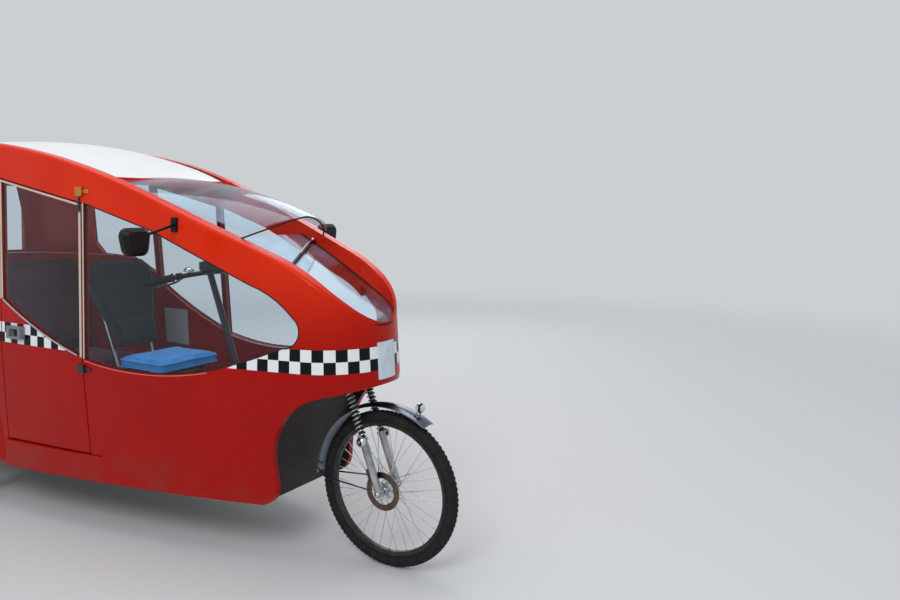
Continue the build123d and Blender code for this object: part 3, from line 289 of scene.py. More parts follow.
def rubber(name, color, dusty):
    """Tyre or grip rubber with dust in the grain."""
    n = Nodes(name)
    base = n.ramp(n.noise(16.0, 6.0, 0.65), (0.35, color), (0.8, dusty))
    grain = n.bump(n.noise(420.0, 3.0), 0.35, 0.0006)
    return n.surface(Base_Color=base, Roughness=0.78, Normal=grain, IOR=1.36)


def cloth(name, color, light, weave=0.0016):
    """Woven cover: two crossed thread waves, soft mottling and a light sheen."""
    n = Nodes(name)
    x, y, z = n.place()
    across = n.math("SINE", n.times(n.plus(x, z), FULL_TURN / weave))
    along = n.math("SINE", n.times(n.minus(y, z), FULL_TURN / weave))
    height = n.plus(n.times(across, along), n.times(n.noise(60.0, 3.0), 2.0))
    return n.surface(
        Base_Color=n.ramp(n.noise(9.0, 6.0, 0.65), (0.3, color), (0.75, light)),
        Roughness=0.86,
        Normal=n.bump(height, 0.25, 0.0006),
        Sheen_Weight=0.18,
        Sheen_Roughness=0.5,
    )


def fork_finish():
    """Bright sliding legs below black tubes, crown and steerer, with brushed streaks."""
    n = Nodes("fork_finish")
    x, _, z = n.place()
    part_x = n.times(n.minus(x, FRONT_HUB.x), STEER_DIR.x)
    part_z = n.times(n.minus(z, FRONT_HUB.z), STEER_DIR.z)
    upper = n.above(n.plus(part_x, part_z), LEG_TOP)
    streak = n.noise(40.0, 4.0, 0.6, (30, 30, 1))
    bright = n.ramp(n.noise(14.0, 5.0), (0.3, srgb(140, 142, 146)), (0.7, srgb(196, 198, 202)))
    return n.surface(
        Base_Color=n.mix(upper, bright, srgb(30, 30, 33)),
        Metallic=n.minus(1.0, n.times(upper, 0.7)),
        Roughness=n.smooth_step(streak, 0.2, 0.8, 0.22, 0.42),
        Normal=n.bump(streak, 0.08, 0.0003),
    )


# A brake disc lies between these radii, on the right of this place across the wheel
DISC_INSIDE, DISC_OUTSIDE, DISC_Y = 0.054, 0.084, -0.0385


def wheel_finish(name, hub_x, hub_z, rim_inside):
    """Black rim with bright spokes and hub."""
    n = Nodes(name)
    x, y, z = n.place()
    across = n.math("POWER", n.minus(x, hub_x), 2.0)
    radius = n.math("SQRT", n.plus(across, n.math("POWER", n.minus(z, hub_z), 2.0)))
    rim = n.above(radius, rim_inside)
    grime = n.smooth_step(n.noise(18.0, 6.0, 0.65), 0.4, 0.8, 0.0, 0.5)
    rim_colour = n.mix(grime, srgb(34, 35, 38), srgb(92, 86, 78))
    metal_colour = n.mix(grime, srgb(214, 216, 220), srgb(150, 142, 130))
    # The disc, where there is one, is darker and brown with heat
    disc = n.times(n.above(radius, DISC_INSIDE), n.times(n.below(radius, DISC_OUTSIDE), n.below(y, DISC_Y)))
    heat = n.ramp(n.noise(9.0, 4.0), (0.3, srgb(74, 62, 54)), (0.7, srgb(118, 104, 92)))
    return n.surface(
        Base_Color=n.mix(rim, n.mix(disc, metal_colour, heat), rim_colour),
        Metallic=n.minus(1.0, n.times(rim, 0.6)),
        Roughness=n.uneven(30.0, 0.26, 0.44),
        Normal=n.bump(n.noise(300.0, 2.0), 0.1, 0.0003),
    )


# Door handles lie behind this place
HANDLE_X = -1.6 + SHIFT


def split_by_height(name, level, low, high, roughness, metallic=0.0, handle=None, wear=srgb(90, 88, 86)):
    """One finish below a height and another above it, with a colour for the handle where one is given."""
    n = Nodes(name)
    x, _, z = n.place()
    upper = n.above(z, level)
    if handle:
        low = n.mix(n.below(x, HANDLE_X), low, handle)
    return n.surface(
        Base_Color=n.worn(n.mix(upper, low, high), wear, 0.25),
        Metallic=n.times(upper, metallic),
        Roughness=n.uneven(24.0, roughness - 0.06, roughness + 0.1),
        Normal=n.grain(700.0),
    )


def two_sided(name, outside, inside):
    """One colour on faces that look out of the body and another on the rest."""
    n = Nodes(name)
    outward = n.above(n.times(n.place()[1], n.facing()[1]), 0.2)
    return n.surface(
        Base_Color=n.worn(n.mix(outward, inside, outside), srgb(120, 104, 96), 0.2),
        Roughness=n.uneven(24.0, 0.3, 0.46),
        Normal=n.grain(600.0),
    )


BLACK = plastic("black_moulding", srgb(10, 10, 12), 0.4, ior=1.32)
SILVER_TRIM = metal("silver_trim", srgb(206, 204, 206), 0.3, (1, 1, 8), 0.04)
SEAL = rubber("window_seal", srgb(14, 14, 15), srgb(34, 33, 32))
DARK_METAL = plastic("black_metal", srgb(24, 24, 27), 0.34, 700.0, 0.1, 0.2, 0.3)
GUARD = metal("guard_metal", srgb(112, 120, 132), 0.2, (1, 20, 1), 0.06)
CHROME = metal("chrome", srgb(222, 226, 230), 0.1, (1, 1, 4), 0.02)
STEEL = metal("spring_steel", srgb(214, 214, 216), 0.22)
# Painted highlight: a pinkish colour for the light on the hull's rolled edge under the front windows
EDGE_HIGHLIGHT = plastic("painted_edge_highlight", srgb(226, 92, 78), 0.3, 500.0, 0.1, 0.12)
INNER_TRIM = plastic("inner_trim", srgb(214, 196, 190), 0.4, 500.0, 0.1, 0.12)
BRASS = metal("brass", srgb(206, 148, 66), 0.3)
CLEAR_LENS = plastic("clear_lens", srgb(196, 204, 210), 0.08, 60.0, 0.3, 0.25, 0.8)
CARD = plastic("blank_card", srgb(206, 214, 214), 0.5, 500.0, 0.05, 0.08)
MIRROR = metal("mirror_face", srgb(205, 214, 222), 0.04, (1, 1, 1), 0.0)
DISPLAY = plastic("display_glass", srgb(30, 38, 40), 0.12, 200.0, 0.02, 0.1, 0.6)
TYRE = rubber("tyre_rubber", srgb(13, 14, 15), srgb(40, 39, 38))
GRIP = rubber("grip_rubber", srgb(10, 10, 11), srgb(28, 28, 28))
MAT = rubber("floor_mat", srgb(26, 26, 28), srgb(52, 50, 48))
CHARCOAL = cloth("charcoal_cover", srgb(13, 14, 18), srgb(27, 29, 35))
BLUE = cloth("blue_cover", srgb(28, 134, 222), srgb(74, 172, 240))
MAROON = cloth("maroon_cover", srgb(60, 16, 24), srgb(84, 26, 36))
GLASS = clear_sheet("clear_panel", rgba(0.92, 0.95, 0.97), 0.005)
PALE = two_sided("pale_trim", srgb(206, 184, 168), srgb(126, 22, 16))
REAR_WHEEL = wheel_finish("rear_wheel_finish", REAR_AXLE_X, REAR_RADIUS, 0.189)
YELLOW, HANDLE, WEAR = srgb(212, 150, 70), srgb(116, 118, 124), srgb(96, 92, 88)
FITTINGS = split_by_height("door_fittings", 1.545, srgb(32, 30, 32), YELLOW, 0.34, 0.9, HANDLE, WEAR)

NODE_FINISHES = [
    (shell_paint(), "front_body roof_arches rear_body_lower rear_body_upper sills door_left door_right"),
    (plastic("dark_moulding", srgb(44, 43, 46), 0.6), "floor_pan bench_base"),
    (plastic("liner_moulding", srgb(58, 50, 50), 0.7, 500.0, 0.2, 0.3), "wheel_arch_liner"),
    (BLACK, "chain_case mirrors wiper pedals"),
    # The screens' last number is the strength of their painted sheen of reflected sky
    (clear_sheet("screen_panel", rgba(0.86, 0.93, 0.98), 0.01, 0.26), "windscreens"),
    (GLASS, "cabin_windows door_window_left door_window_right"),
    (plastic("white_sheet", srgb(224, 226, 228), 0.3, 500.0, 0.08, 0.05), "roof_panel"),
    (split_by_height("plain_plates", 1.5, srgb(204, 218, 230), srgb(24, 26, 32), 0.32), "blank_plates"),
    (PALE, "window_posts door_posts_left door_posts_right"),
    (split_by_height("hinge_leaves", 1.4, srgb(30, 28, 30), YELLOW, 0.32, 0.9), "door_hinges"),
    (FITTINGS, "door_fittings_left door_fittings_right"),
    (plastic("frame_paint", srgb(34, 34, 38), 0.4, 700.0, 0.1, 0.2, 0.3), "frame"),
    (DARK_METAL, "rear_axle handlebar tie_rod"),
    (metal("satin_metal", srgb(178, 180, 184), 0.32), "driver_seat_frame crankset"),
    (plastic("red_lens", srgb(140, 10, 10), 0.15, 300.0, 0.2, 0.2, 0.6), "tail_lamps"),
    (fork_finish(), "fork"),
    (STEEL, "front_axle fork_springs"),
    (GUARD, "front_mudguard"),
    (CHROME, "headlamp"),
    (GRIP, "grips"),
    (TYRE, "front_tyre rear_tyre_left rear_tyre_right"),
    (wheel_finish("front_wheel_finish", FRONT_HUB.x, FRONT_RADIUS, 0.264), "front_wheel"),
    (REAR_WHEEL, "rear_wheel_left rear_wheel_right"),
    (BLUE, "driver_seat_cushion"),
    (CHARCOAL, "driver_backrest"),
    (MAROON, "bench_cushions"),
]
for finish, names in NODE_FINISHES:
    for node_name in names.split():
        NODES[node_name].data.materials.clear()
        NODES[node_name].data.materials.append(finish)


# Shape helpers


def add_object(name, data, body=None):
    """An object in the scene, which rides on a body where one is given."""
    made = bpy.data.objects.new(name, data)
    bpy.context.scene.collection.objects.link(made)
    if body:
        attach(made, body)
    return made


def new_mesh(name, vertices, faces, material=None, body=None, smooth=True):
    mesh = bpy.data.meshes.new(name)
    mesh.from_pydata([tuple(v) for v in vertices], [], faces)
    if material:
        mesh.materials.append(material)
    mesh.polygons.foreach_set("use_smooth", [smooth] * len(mesh.polygons))
    return add_object(name, mesh, body)


def spun(name, outline, centre, direction, material, body, segments=40, ring=False):
    """Spins (distance along, radius) pairs round an axis. A ring's outline is closed, others get ends."""
    direction = direction.normalized()
    side = direction.orthogonal().normalized()
    other = direction.cross(side)
    vertices, faces = [], []
    count = len(outline)
    for k in range(segments):
        a = FULL_TURN * k / segments
        spoke = side * math.cos(a) + other * math.sin(a)
        vertices += [centre + direction * along + spoke * radius for along, radius in outline]
    for k in range(segments):
        here, there = k * count, ((k + 1) % segments) * count
        for j in range(count if ring else count - 1):
            after = (j + 1) % count
            faces.append((here + j, here + after, there + after, there + j))
    if not ring:
        faces.append(tuple(k * count for k in range(segments))[::-1])
        faces.append(tuple(k * count + count - 1 for k in range(segments)))
    return new_mesh(name, vertices, faces, material, body)


def wire(name, points, radius, material, body="chassis", cyclic=False, smooth=False, resolution=3):
    """A round wire along a run of points."""
    curve = bpy.data.curves.new(name, "CURVE")
    curve.dimensions = "3D"
    curve.bevel_depth = radius
    curve.bevel_resolution = resolution
    curve.use_fill_caps = True
    spline = curve.splines.new("NURBS" if smooth else "POLY")
    spline.points.add(len(points) - 1)
    for point, where in zip(spline.points, points):
        point.co = (*where, 1.0)
    if smooth:
        spline.order_u = 3
        spline.use_endpoint_u = True
    spline.use_cyclic_u = cyclic
    curve.materials.append(material)
    return add_object(name, curve, body)


def helix(start, axis, radius, length, turns, steps=24):
    """Points of a coil round an axis."""
    side = axis.orthogonal().normalized()
    other = axis.cross(side)
    points = []
    for k in range(int(turns * steps) + 1):
        a = FULL_TURN * k / steps
        lift = length * k / (turns * steps)
        points.append(start + axis * lift + (side * math.cos(a) + other * math.sin(a)) * radius)
    return points


def ring_faces(count, rings, first=0, foot=True):
    """Faces through rings of points, closed at the head and, with foot, at the foot."""
    head = first + (rings - 1) * count
    faces = [tuple(range(first, first + count))[::-1]] if foot else []
    faces.append(tuple(range(head, head + count)))
    for ring in range(first, head, count):
        for k in range(count):
            j = (k + 1) % count
            faces.append((ring + k, ring + j, ring + count + j, ring + count + k))
    return faces


def blocks(name, parts, material, body, bevel):
    """Bevelled blocks as one piece. Columns are centre, size and the turn about the sideways axis."""
    mesh = bmesh.new()
    for centre, size, turn in parts:
        made = bmesh.ops.create_cube(mesh, size=1.0)["verts"]
        bmesh.ops.scale(mesh, vec=Vector(size), verts=made)
        bmesh.ops.rotate(mesh, cent=(0, 0, 0), matrix=Matrix.Rotation(turn, 3, "Y"), verts=made)
        bmesh.ops.translate(mesh, vec=centre, verts=made)
    bmesh.ops.bevel(mesh, geom=list(mesh.edges), offset=bevel, segments=2, profile=0.5, affect="EDGES")
    data = bpy.data.meshes.new(name)
    mesh.to_mesh(data)
    mesh.free()
    data.materials.append(material)
    return add_object(name, data, body)


def corner_arcs(half_across, half_up, corner, steps):
    """Outline of a rectangle with round corners, from steps runs round each corner."""
    points = []
    for su, sv, start in ((1, 1, 0), (-1, 1, 90), (-1, -1, 180), (1, -1, 270)):
        for k in range(steps + 1):
            t = math.radians(start + 90 * k / steps)
            u = su * (half_across - corner) + corner * math.cos(t)
            points.append((u, sv * (half_up - corner) + corner * math.sin(t)))
    return points


def rounded_plate(name, width, height, corner, thickness, place, material, body):
    """A thin plate with round corners; place turns (across, up, out) into a point."""
    outline = corner_arcs(width / 2, height / 2, corner, 8)
    vertices = []
    for shrink, out in ((1.0, 0.0), (1.0, thickness * 0.7), (0.97, thickness)):
        vertices += [place(u * shrink, v * shrink, out) for u, v in outline]
    new_mesh(name, vertices, ring_faces(len(outline), 3), material, body, smooth=False)


def surface_tree(mesh):
    return BVHTree.FromPolygons([v.co for v in mesh.vertices], [tuple(p.vertices) for p in mesh.polygons])


# The hull's side, repeated from the CAD source in millimetres, so that seals and trim lie on it
BELT_Z = 800
WIDEST_X, WIDEST_HALF = -2600, 500
TAIL_BEND_X, TAIL_DROP = -3030, 35
NOSE_HALF, NOSE_RUN = 280, 2370


def half_width(x, z):
    """Half width of the hull at a place ahead of or behind its widest point."""
    above, below = max(z - BELT_Z, 0), max(BELT_Z - z, 0)
    widest = WIDEST_HALF - 0.05 * above
    dx = x - WIDEST_X
    if dx < 0:
        return widest - TAIL_DROP * (dx / (TAIL_BEND_X + 0.06 * above + 0.12 * below - WIDEST_X)) ** 2
    drop = widest - (NOSE_HALF - 0.05 * above - 0.14 * below)
    radius = (NOSE_RUN * NOSE_RUN + drop * drop) / (2 * drop)
    return widest - (radius - math.sqrt(radius * radius - dx * dx))


def on_hull(x, z, side, out):
    """A point on the hull's side, in from or out of its surface by out millimetres."""
    return at(x, side * (half_width(x, z) + out), z)


def on_side(points, side, out, lift=0):
    """A side-view line laid on the hull, lift millimetres higher."""
    return [on_hull(x, z + lift, side, out) for x, z in points]


def on_panel(x0, z0, side, base, way=1):
    """Turns (across, up, out) in metres into a point by the hull's side, round a place in millimetres."""
    return lambda u, v, out: on_hull(x0 + u * 1000, z0 + v * 1000, side, base + way * out * 1000)


def arc_through(a, b, c, count):
    """Points along the arc through three side-view points."""
    d = 2 * (a[0] * (b[1] - c[1]) + b[0] * (c[1] - a[1]) + c[0] * (a[1] - b[1]))
    squares = [p[0] ** 2 + p[1] ** 2 for p in (a, b, c)]
    x = (squares[0] * (b[1] - c[1]) + squares[1] * (c[1] - a[1]) + squares[2] * (a[1] - b[1])) / d
    z = (squares[0] * (c[0] - b[0]) + squares[1] * (a[0] - c[0]) + squares[2] * (b[0] - a[0])) / d
    start, middle, end = (math.atan2(p[1] - z, p[0] - x) for p in (a, b, c))
    span = (end - start) % FULL_TURN
    if (middle - start) % FULL_TURN > span:
        span -= FULL_TURN
    radius = math.hypot(a[0] - x, a[1] - z)
    turns = [start + span * k / count for k in range(count + 1)]
    return [(x + radius * math.cos(t), z + radius * math.sin(t)) for t in turns]


def divided(points, step=60, whole=round):
    """The same line with more points along its long runs."""
    out = [points[0]]
    for (xa, za), (xb, zb) in zip(points, points[1:]):
        parts = max(1, whole(math.hypot(xb - xa, zb - za) / step))
        out += [(xa + (xb - xa) * k / parts, za + (zb - za) * k / parts) for k in range(1, parts + 1)]
    return out


# Seals round the side windows, trim on the doors and a painted highlight under the front windows, in
# millimetres of the side view
WINDOW_LOW = arc_through((-306, 941), (-800, 801), (-1356, 818), 20)
WINDOW_TOP = divided([(-1356, 1516.2595), (-955, 1398), (-461, 1189)])
TIP_TOP = arc_through((-461, 1189), (-350, 1139), (-262, 1066), 5)
TIP_FRONT = arc_through((-262, 1066), (-236, 988), (-306, 941), 9)
FRONT_SEAL = WINDOW_LOW + WINDOW_TOP + TIP_TOP[1:] + TIP_FRONT[1:]
QUARTER = [(-1980, 1120), (-1980, 1634), (-2560, 1672), (-2560, 1290), (-2480, 1218), (-2200, 1205)]
QUARTER_SEAL = divided(QUARTER + QUARTER[:1])[:-1]
SILL_ARC = arc_through((-1320, 806), (-1660, 922), (-2000, 1100), 26)
# The trim stays between the door's edges
DOOR_SILL = [p for p in SILL_ARC if -1944 < p[0] < -1376]
# The painted highlight under each front window ends where the checked band begins
EDGE_HIGHLIGHT_RUN = [p for p in WINDOW_LOW if p[0] < -640]

for side, word in SIDES:
    door = f"door_{word}_set"
    wire(f"front_window_seal_{word}", on_side(FRONT_SEAL, side, -2), 0.0034, SEAL, cyclic=True)
    wire(f"quarter_window_seal_{word}", on_side(QUARTER_SEAL, side, -2), 0.0034, SEAL, cyclic=True)
    wire(f"door_window_trim_{word}", on_side(DOOR_SILL, side, 0.5), 0.0042, SILVER_TRIM, door)
    # A pinkish line just below each front window's seal is a painted highlight on the hull's rolled edge
    wire(f"front_window_lip_{word}", on_side(EDGE_HIGHLIGHT_RUN, side, 0.2, -9), 0.003, EDGE_HIGHLIGHT)
    wire(f"front_window_inner_trim_{word}", on_side(WINDOW_LOW, side, -26.5, -6), 0.0036, INNER_TRIM)
    wire(f"door_window_seal_{word}", on_side(DOOR_SILL, side, -3, 7), 0.0032, SEAL, door)


# Lower screen, in millimetres: the arc of its height, and its half widths at the nose and behind it
SCREEN_CENTRE = (-3370.63, -4736.22)
SCREEN_RADIUS = 6668.16 + 4
SCREEN_HALF, SCREEN_WIDE = 197, 218
SCREEN_REAR_X, SCREEN_BEND_X, SCREEN_NOSE_X, SCREEN_TIP_X = -690, -300, -170, -8


def screen_z(x):
    return SCREEN_CENTRE[1] + math.sqrt(SCREEN_RADIUS**2 - (x - SCREEN_CENTRE[0]) ** 2)


# Plan outline of the lower screen on one side, from its rear corner to the middle of the nose
BORDER = []
for x in range(SCREEN_REAR_X, SCREEN_BEND_X, 30):
    BORDER.append((x, min(SCREEN_WIDE + (SCREEN_BEND_X - x) * 0.2, half_width(x, screen_z(x)) - 56)))
BORDER.append((SCREEN_BEND_X, SCREEN_WIDE))
BORDER.append(((SCREEN_BEND_X + SCREEN_NOSE_X) / 2, (SCREEN_WIDE + SCREEN_HALF) / 2))
BORDER.append((SCREEN_NOSE_X, SCREEN_HALF))
BORDER += arc_through(BORDER[-1], (SCREEN_TIP_X, 0), (SCREEN_NOSE_X, -SCREEN_HALF), 20)[1:11]
BORDER += [(x, -y) for x, y in BORDER[-2::-1]]
wire("lower_screen_seal", [at(x, y, screen_z(x) - 1) for x, y in BORDER], 0.0042, SEAL)

# Front edge of the upper screen, which bows forward and up in its middle
EDGE = []
for k in range(-16, 17):
    u = abs(k) / 16
    EDGE.append(at(-607 + 194 * (1 - u * u), 315 * k / 16, 1340 + 119 * (1 - u**1.5)))
wire("upper_screen_edge", EDGE, 0.0036, SEAL)


# Seals along the roof sheet's sides, laid on it by rays from above
ROOF = surface_tree(NODES["roof_panel"].data)
for side, word in SIDES:
    starts = [at(x, side * (half_width(x, 1720) - 58), 2300) for x in range(-1245, -3035, -45)]
    hits = [ROOF.ray_cast(start, -UPWARD)[0] for start in starts]
    run = [hit + UPWARD * 0.001 for hit in hits if hit is not None]
    wire(f"roof_seal_{word}", run, 0.0045, SEAL)


# Tyres: a round carcass with tread blocks stands for each plain CAD tyre
# Carcass section: distance in from the tread and half width, as shares of the tyre's width
CARCASS = [(0.05, 0.0), (0.06, 0.14), (0.1, 0.27), (0.18, 0.39), (0.3, 0.475)]
CARCASS += [(0.44, 0.498), (0.58, 0.47), (0.72, 0.4), (0.84, 0.33), (0.92, 0.27)]
BEAD = [(0.9, 0.31), (0.86, 0.345), (0.84, 0.33)]
# Tread rows: side place as a share of the width, then half width, half length and turn of each block
TREAD_ROWS = [
    (0.0, 0.0042, 0.0062, 0.0),
    (0.15, 0.0046, 0.0058, 0.5),
    (-0.15, 0.0046, 0.0058, -0.5),
    (0.31, 0.0052, 0.0062, 0.0),
    (-0.31, 0.0052, 0.0062, 0.0),
]
BLOCK_HEIGHT, BLOCK_SUNK, BLOCK_TAPER = 0.0034, 0.001, 0.8
# How far a block leans out for its side place
BLOCK_LEAN = 1.9


def carcass_drop(share):
    """How far the carcass lies inside the tread at a side place, as a share of the width."""
    for (da, ha), (db, hb) in zip(CARCASS, CARCASS[1:]):
        if ha <= abs(share) <= hb:
            return da + (db - da) * (abs(share) - ha) / (hb - ha)


def tread_blocks(radius, width, centre, count):
    """Vertices and faces of raised blocks round a tyre."""
    vertices, faces = [], []
    for row, (share, half_y, half_run, turn) in enumerate(TREAD_ROWS):
        inner_radius = radius - carcass_drop(share) * width - BLOCK_SUNK
        lean = share * BLOCK_LEAN
        for k in range(count):
            a = FULL_TURN * (k + 0.5 * (row % 2)) / count
            out = Vector((math.cos(a), 0, math.sin(a)))
            along = Vector((-math.sin(a), 0, math.cos(a)))
            lean_out = (out * math.cos(lean) + SIDEWAYS * math.sin(lean)).normalized()
            across = along.cross(lean_out)
            run = along * math.cos(turn) + across * math.sin(turn)
            sideways = across * math.cos(turn) - along * math.sin(turn)
            base = centre + out * inner_radius + SIDEWAYS * (share * width)
            first = len(vertices)
            for height, shrink in ((0.0, 1.0), (BLOCK_HEIGHT, BLOCK_TAPER)):
                for i, j in ((-1, -1), (1, -1), (1, 1), (-1, 1)):
                    reach = run * (i * half_run * shrink) + sideways * (j * half_y * shrink)
                    vertices.append(base + lean_out * height + reach)
            faces += ring_faces(4, 2, first, foot=False)
    return vertices, faces


def dressed_tyre(node, radius, width, centre, body, count):
    name = f"{node}_dressed"
    # Places along the axis are counted to the right
    half = [(-share * width, radius - drop * width) for drop, share in CARCASS]
    outline = half + [(-y, r) for y, r in half[:0:-1]]
    carcass = spun(f"{name}_carcass", outline, centre, -SIDEWAYS, TYRE, body, 160, ring=True)
    vertices, faces = tread_blocks(radius, width, centre, count)
    tread = new_mesh(f"{name}_tread", vertices, faces, TYRE, body, smooth=False)
    for side, word in SIDES:
        ridge = [(-side * share * width, radius - drop * width) for drop, share in BEAD]
        spun(f"{name}_bead_{word}", ridge, centre, -SIDEWAYS, TYRE, body, 96, ring=True)
    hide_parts(node)
    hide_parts(node)


dressed_tyre("front_tyre", FRONT_RADIUS, FRONT_WIDTH, FRONT_HUB, "front_wheel_set", 92)
for side, word in SIDES:
    hub = Vector((REAR_AXLE_X, side * REAR_WHEEL_Y, REAR_RADIUS))
    dressed_tyre(f"rear_tyre_{word}", REAR_RADIUS, REAR_WIDTH, hub, f"rear_wheel_{word}_set", 72)


# Nuts on the axles, and caps and collars on the fork
FRONT_NUT = [(0, 0.0105), (0.009, 0.0105), (0.011, 0.008), (0.0125, 0.004)]
REAR_NUT = [(0, 0.016), (0.004, 0.016), (0.009, 0.013), (0.0125, 0.006)]
FOOT_CAP = [(0, 0.021), (0.007, 0.021), (0.012, 0.017), (0.014, 0.009)]
TOP_COLLAR = [(-0.004, 0.02), (0.006, 0.021), (0.008, 0.017)]
for side, word in SIDES:
    out = SIDEWAYS * side
    fork_leg = FRONT_HUB + out * FORK_HALF
    nut = FRONT_HUB + out * 0.0775
    spun(f"front_axle_nut_{word}", FRONT_NUT, nut, out, CHROME, "steering_fork", 6)
    knee = fork_leg + STEER_DIR * KNEE + out * 0.014
    spun(f"spring_foot_cap_{word}", FOOT_CAP, knee, out, CHROME, "steering_fork")
    collar = fork_leg + STEER_DIR * (SPRING_HIGH - 0.004)
    spun(f"spring_top_collar_{word}", TOP_COLLAR, collar, STEER_DIR, BLACK, "steering_fork")
    rear_nut = Vector((REAR_AXLE_X, side * REAR_AXLE_END, REAR_RADIUS))
    spun(f"rear_axle_nut_{word}", REAR_NUT, rear_nut, out, CHROME, "chassis", 6)


# Wiper: holder along the blade, bright arm and pivot nut
WIPER_PIVOT, WIPER_TIP = Vector((-598, 247, 0)), Vector((-403, -120, 0))


def on_wiper(share, aside, lift):
    """A point along the wiper's line, in mm aside of it and above the screen."""
    line = WIPER_TIP - WIPER_PIVOT
    place = WIPER_PIVOT + line * share + Vector((-line.y, line.x, 0)).normalized() * aside
    chord = screen_z(WIPER_PIVOT.x) * (1 - share) + screen_z(WIPER_TIP.x) * share
    return at(place.x, place.y, chord + lift)


WIPER_ARM = [on_wiper(0.0, 0, 18), on_wiper(0.3, -7, 25), on_wiper(0.6, 0, 22)]
WIPER_NUT = [(0, 0.011), (0.006, 0.011), (0.01, 0.007), (0.011, 0.003)]
wire("wiper_holder", [on_wiper(0.2, 0, 13), on_wiper(1.0, 0, 12)], 0.0078, BLACK)
wire("wiper_arm", WIPER_ARM, 0.0045, SILVER_TRIM, smooth=True)
spun("wiper_nut", WIPER_NUT, on_wiper(0.0, 0, 15), UPWARD, CHROME, "chassis", 6)

# Brake caliper over the disc, on the right fork leg
# Blocks: distance up the fork from the hub, distance behind it, place across and size
CALIPER_BLOCKS = [
    (0.078, 0.026, -0.0505, (0.034, 0.013, 0.05)),
    (0.078, 0.026, -0.0325, (0.03, 0.007, 0.044)),
    (0.099, 0.026, -0.041, (0.03, 0.024, 0.012)),
    (0.085, 0.011, -0.056, (0.036, 0.006, 0.018)),
]
CALIPER = []
for up, back, y, size in CALIPER_BLOCKS:
    CALIPER.append((FRONT_HUB + STEER_DIR * up - STEER_SIDE * back + SIDEWAYS * y, size, -TILT))
blocks("brake_caliper", CALIPER, DARK_METAL, "steering_fork", 0.0024)

# Mudguard: rolled edges along both sides
GUARD_START, GUARD_END = 56.5, 177.5
GUARD_RADIUS = FRONT_RADIUS + 0.034
GUARD_EDGE_RADIUS, GUARD_EDGE_HALF = GUARD_RADIUS - 0.0112, 0.0355


def round_front_hub(degrees, radius):
    """A point above the front hub in the wheel's plane."""
    turn = math.radians(degrees)
    return FRONT_HUB + Vector((math.cos(turn), 0, math.sin(turn))) * radius


for side, word in SIDES:
    turns = [GUARD_START + (GUARD_END - GUARD_START) * k / 40 for k in range(41)]
    rim = [round_front_hub(t, GUARD_EDGE_RADIUS) + SIDEWAYS * (side * GUARD_EDGE_HALF) for t in turns]
    wire(f"guard_edge_{word}", rim, 0.0024, GUARD, "steering_fork")

# Headlamp: clear front and dark bezel
LAMP = round_front_hub(66, GUARD_RADIUS + 0.033)
LENS_OUTLINE = [(0.0075, 0.0168), (0.0112, 0.0132), (0.0146, 0.0096), (0.0166, 0.0045), (0.0172, 0.0008)]
BEZEL = [(-0.003, 0.0192), (-0.001, 0.0206), (0.002, 0.0204), (0.0068, 0.0172)]
spun("headlamp_lens", LENS_OUTLINE, LAMP, AHEAD, CLEAR_LENS, "steering_fork")
spun("headlamp_bezel", BEZEL, LAMP, AHEAD, BLACK, "steering_fork")

# Handlebar: brake levers with their clamps, grip flanges, display glass, keys and a bell
BAR_TOP = at(-940, 0, 970) + STEER_DIR * (0.225 / math.cos(TILT))
LEVER = [(-10, 172, -9), (14, 182, -13), (33, 200, -20), (38, 232, -30), (22, 268, -40), (-4, 296, -46)]
CLAMP = [(-0.011, 0.012), (-0.011, 0.0165), (0.011, 0.0165), (0.011, 0.012)]
FLANGE = [(-0.004, 0.0165), (-0.003, 0.0205), (0.003, 0.0205), (0.004, 0.0165)]


def on_bar(side, x, y, z):
    """A point from millimetres measured from the middle of the bar."""
    return BAR_TOP + Vector((x, side * y, z)) * 0.001


for side, word in SIDES:
    lever = [on_bar(side, *point) for point in LEVER]
    wire(f"brake_lever_{word}", lever, 0.0046, DARK_METAL, "handlebar_set", smooth=True)
    clamp_axis = Vector((-25, side * 130, -12))
    spun(f"lever_clamp_{word}", CLAMP, on_bar(side, -8, 172, -9), clamp_axis, BLACK, "handlebar_set")
    grip_axis = Vector((-55, side * 115, -23))
    spun(f"grip_flange_{word}", FLANGE, on_bar(side, -18.5, 198.5, -13.6), grip_axis, GRIP, "handlebar_set")

DISPLAY_GLASS = [(on_bar(1, 15, 0, 51.4), (0.054, 0.074, 0.0036), 0.0)]
blocks("display_glass", DISPLAY_GLASS, DISPLAY, "handlebar_set", 0.0012)
KEYS = [(on_bar(1, -20.5, y, 32.4), (0.004, 0.012, 0.008), 0.0) for y in (-24, 0, 24)]
blocks("display_keys", KEYS, GRIP, "handlebar_set", 0.001)
BELL_FOOT = [(0.0, 0.006), (0.007, 0.006), (0.0085, 0.0235), (0.0115, 0.024)]
BELL_DOME = [(0.018, 0.0205), (0.0235, 0.0125), (0.0255, 0.002)]
BELL_AXIS = Vector((0.15, -0.1, 1))
spun("bell", BELL_FOOT + BELL_DOME, on_bar(1, -1.5, -122, 5.5), BELL_AXIS, CHROME, "handlebar_set")


# Plates: width, height, corner radius and thickness
MIRROR_GLASS = (0.1, 0.094, 0.03, 0.0022)
HANDLE_WELL = (0.048, 0.032, 0.006, 0.0012)
DOOR_CARD = (0.21, 0.205, 0.006, 0.0014)


# Mirror glass on the rear of each head, which is wider at its top
def on_mirror(side):
    centre = at(-800, side * 575, 1362)
    return lambda u, v, out: centre + Vector((-out, u * (1 + 3.0 * v), v))


for side, word in SIDES:
    rounded_plate(f"mirror_glass_{word}", *MIRROR_GLASS, on_mirror(side), MIRROR, "chassis")

# Wells of the door handles, hinge screws, and the plain card inside the left door
for side, word in SIDES:
    well = on_panel(-1814, 906, side, 8.3)
    rounded_plate(f"handle_well_{word}", *HANDLE_WELL, well, BLACK, f"door_{word}_set")

# A screw head's rings: lift off the leaf and radius, with this many corners
SCREW_RINGS = ((0.0, 0.0032), (0.0012, 0.003), (0.002, 0.0014))
SCREW_CORNERS = 10


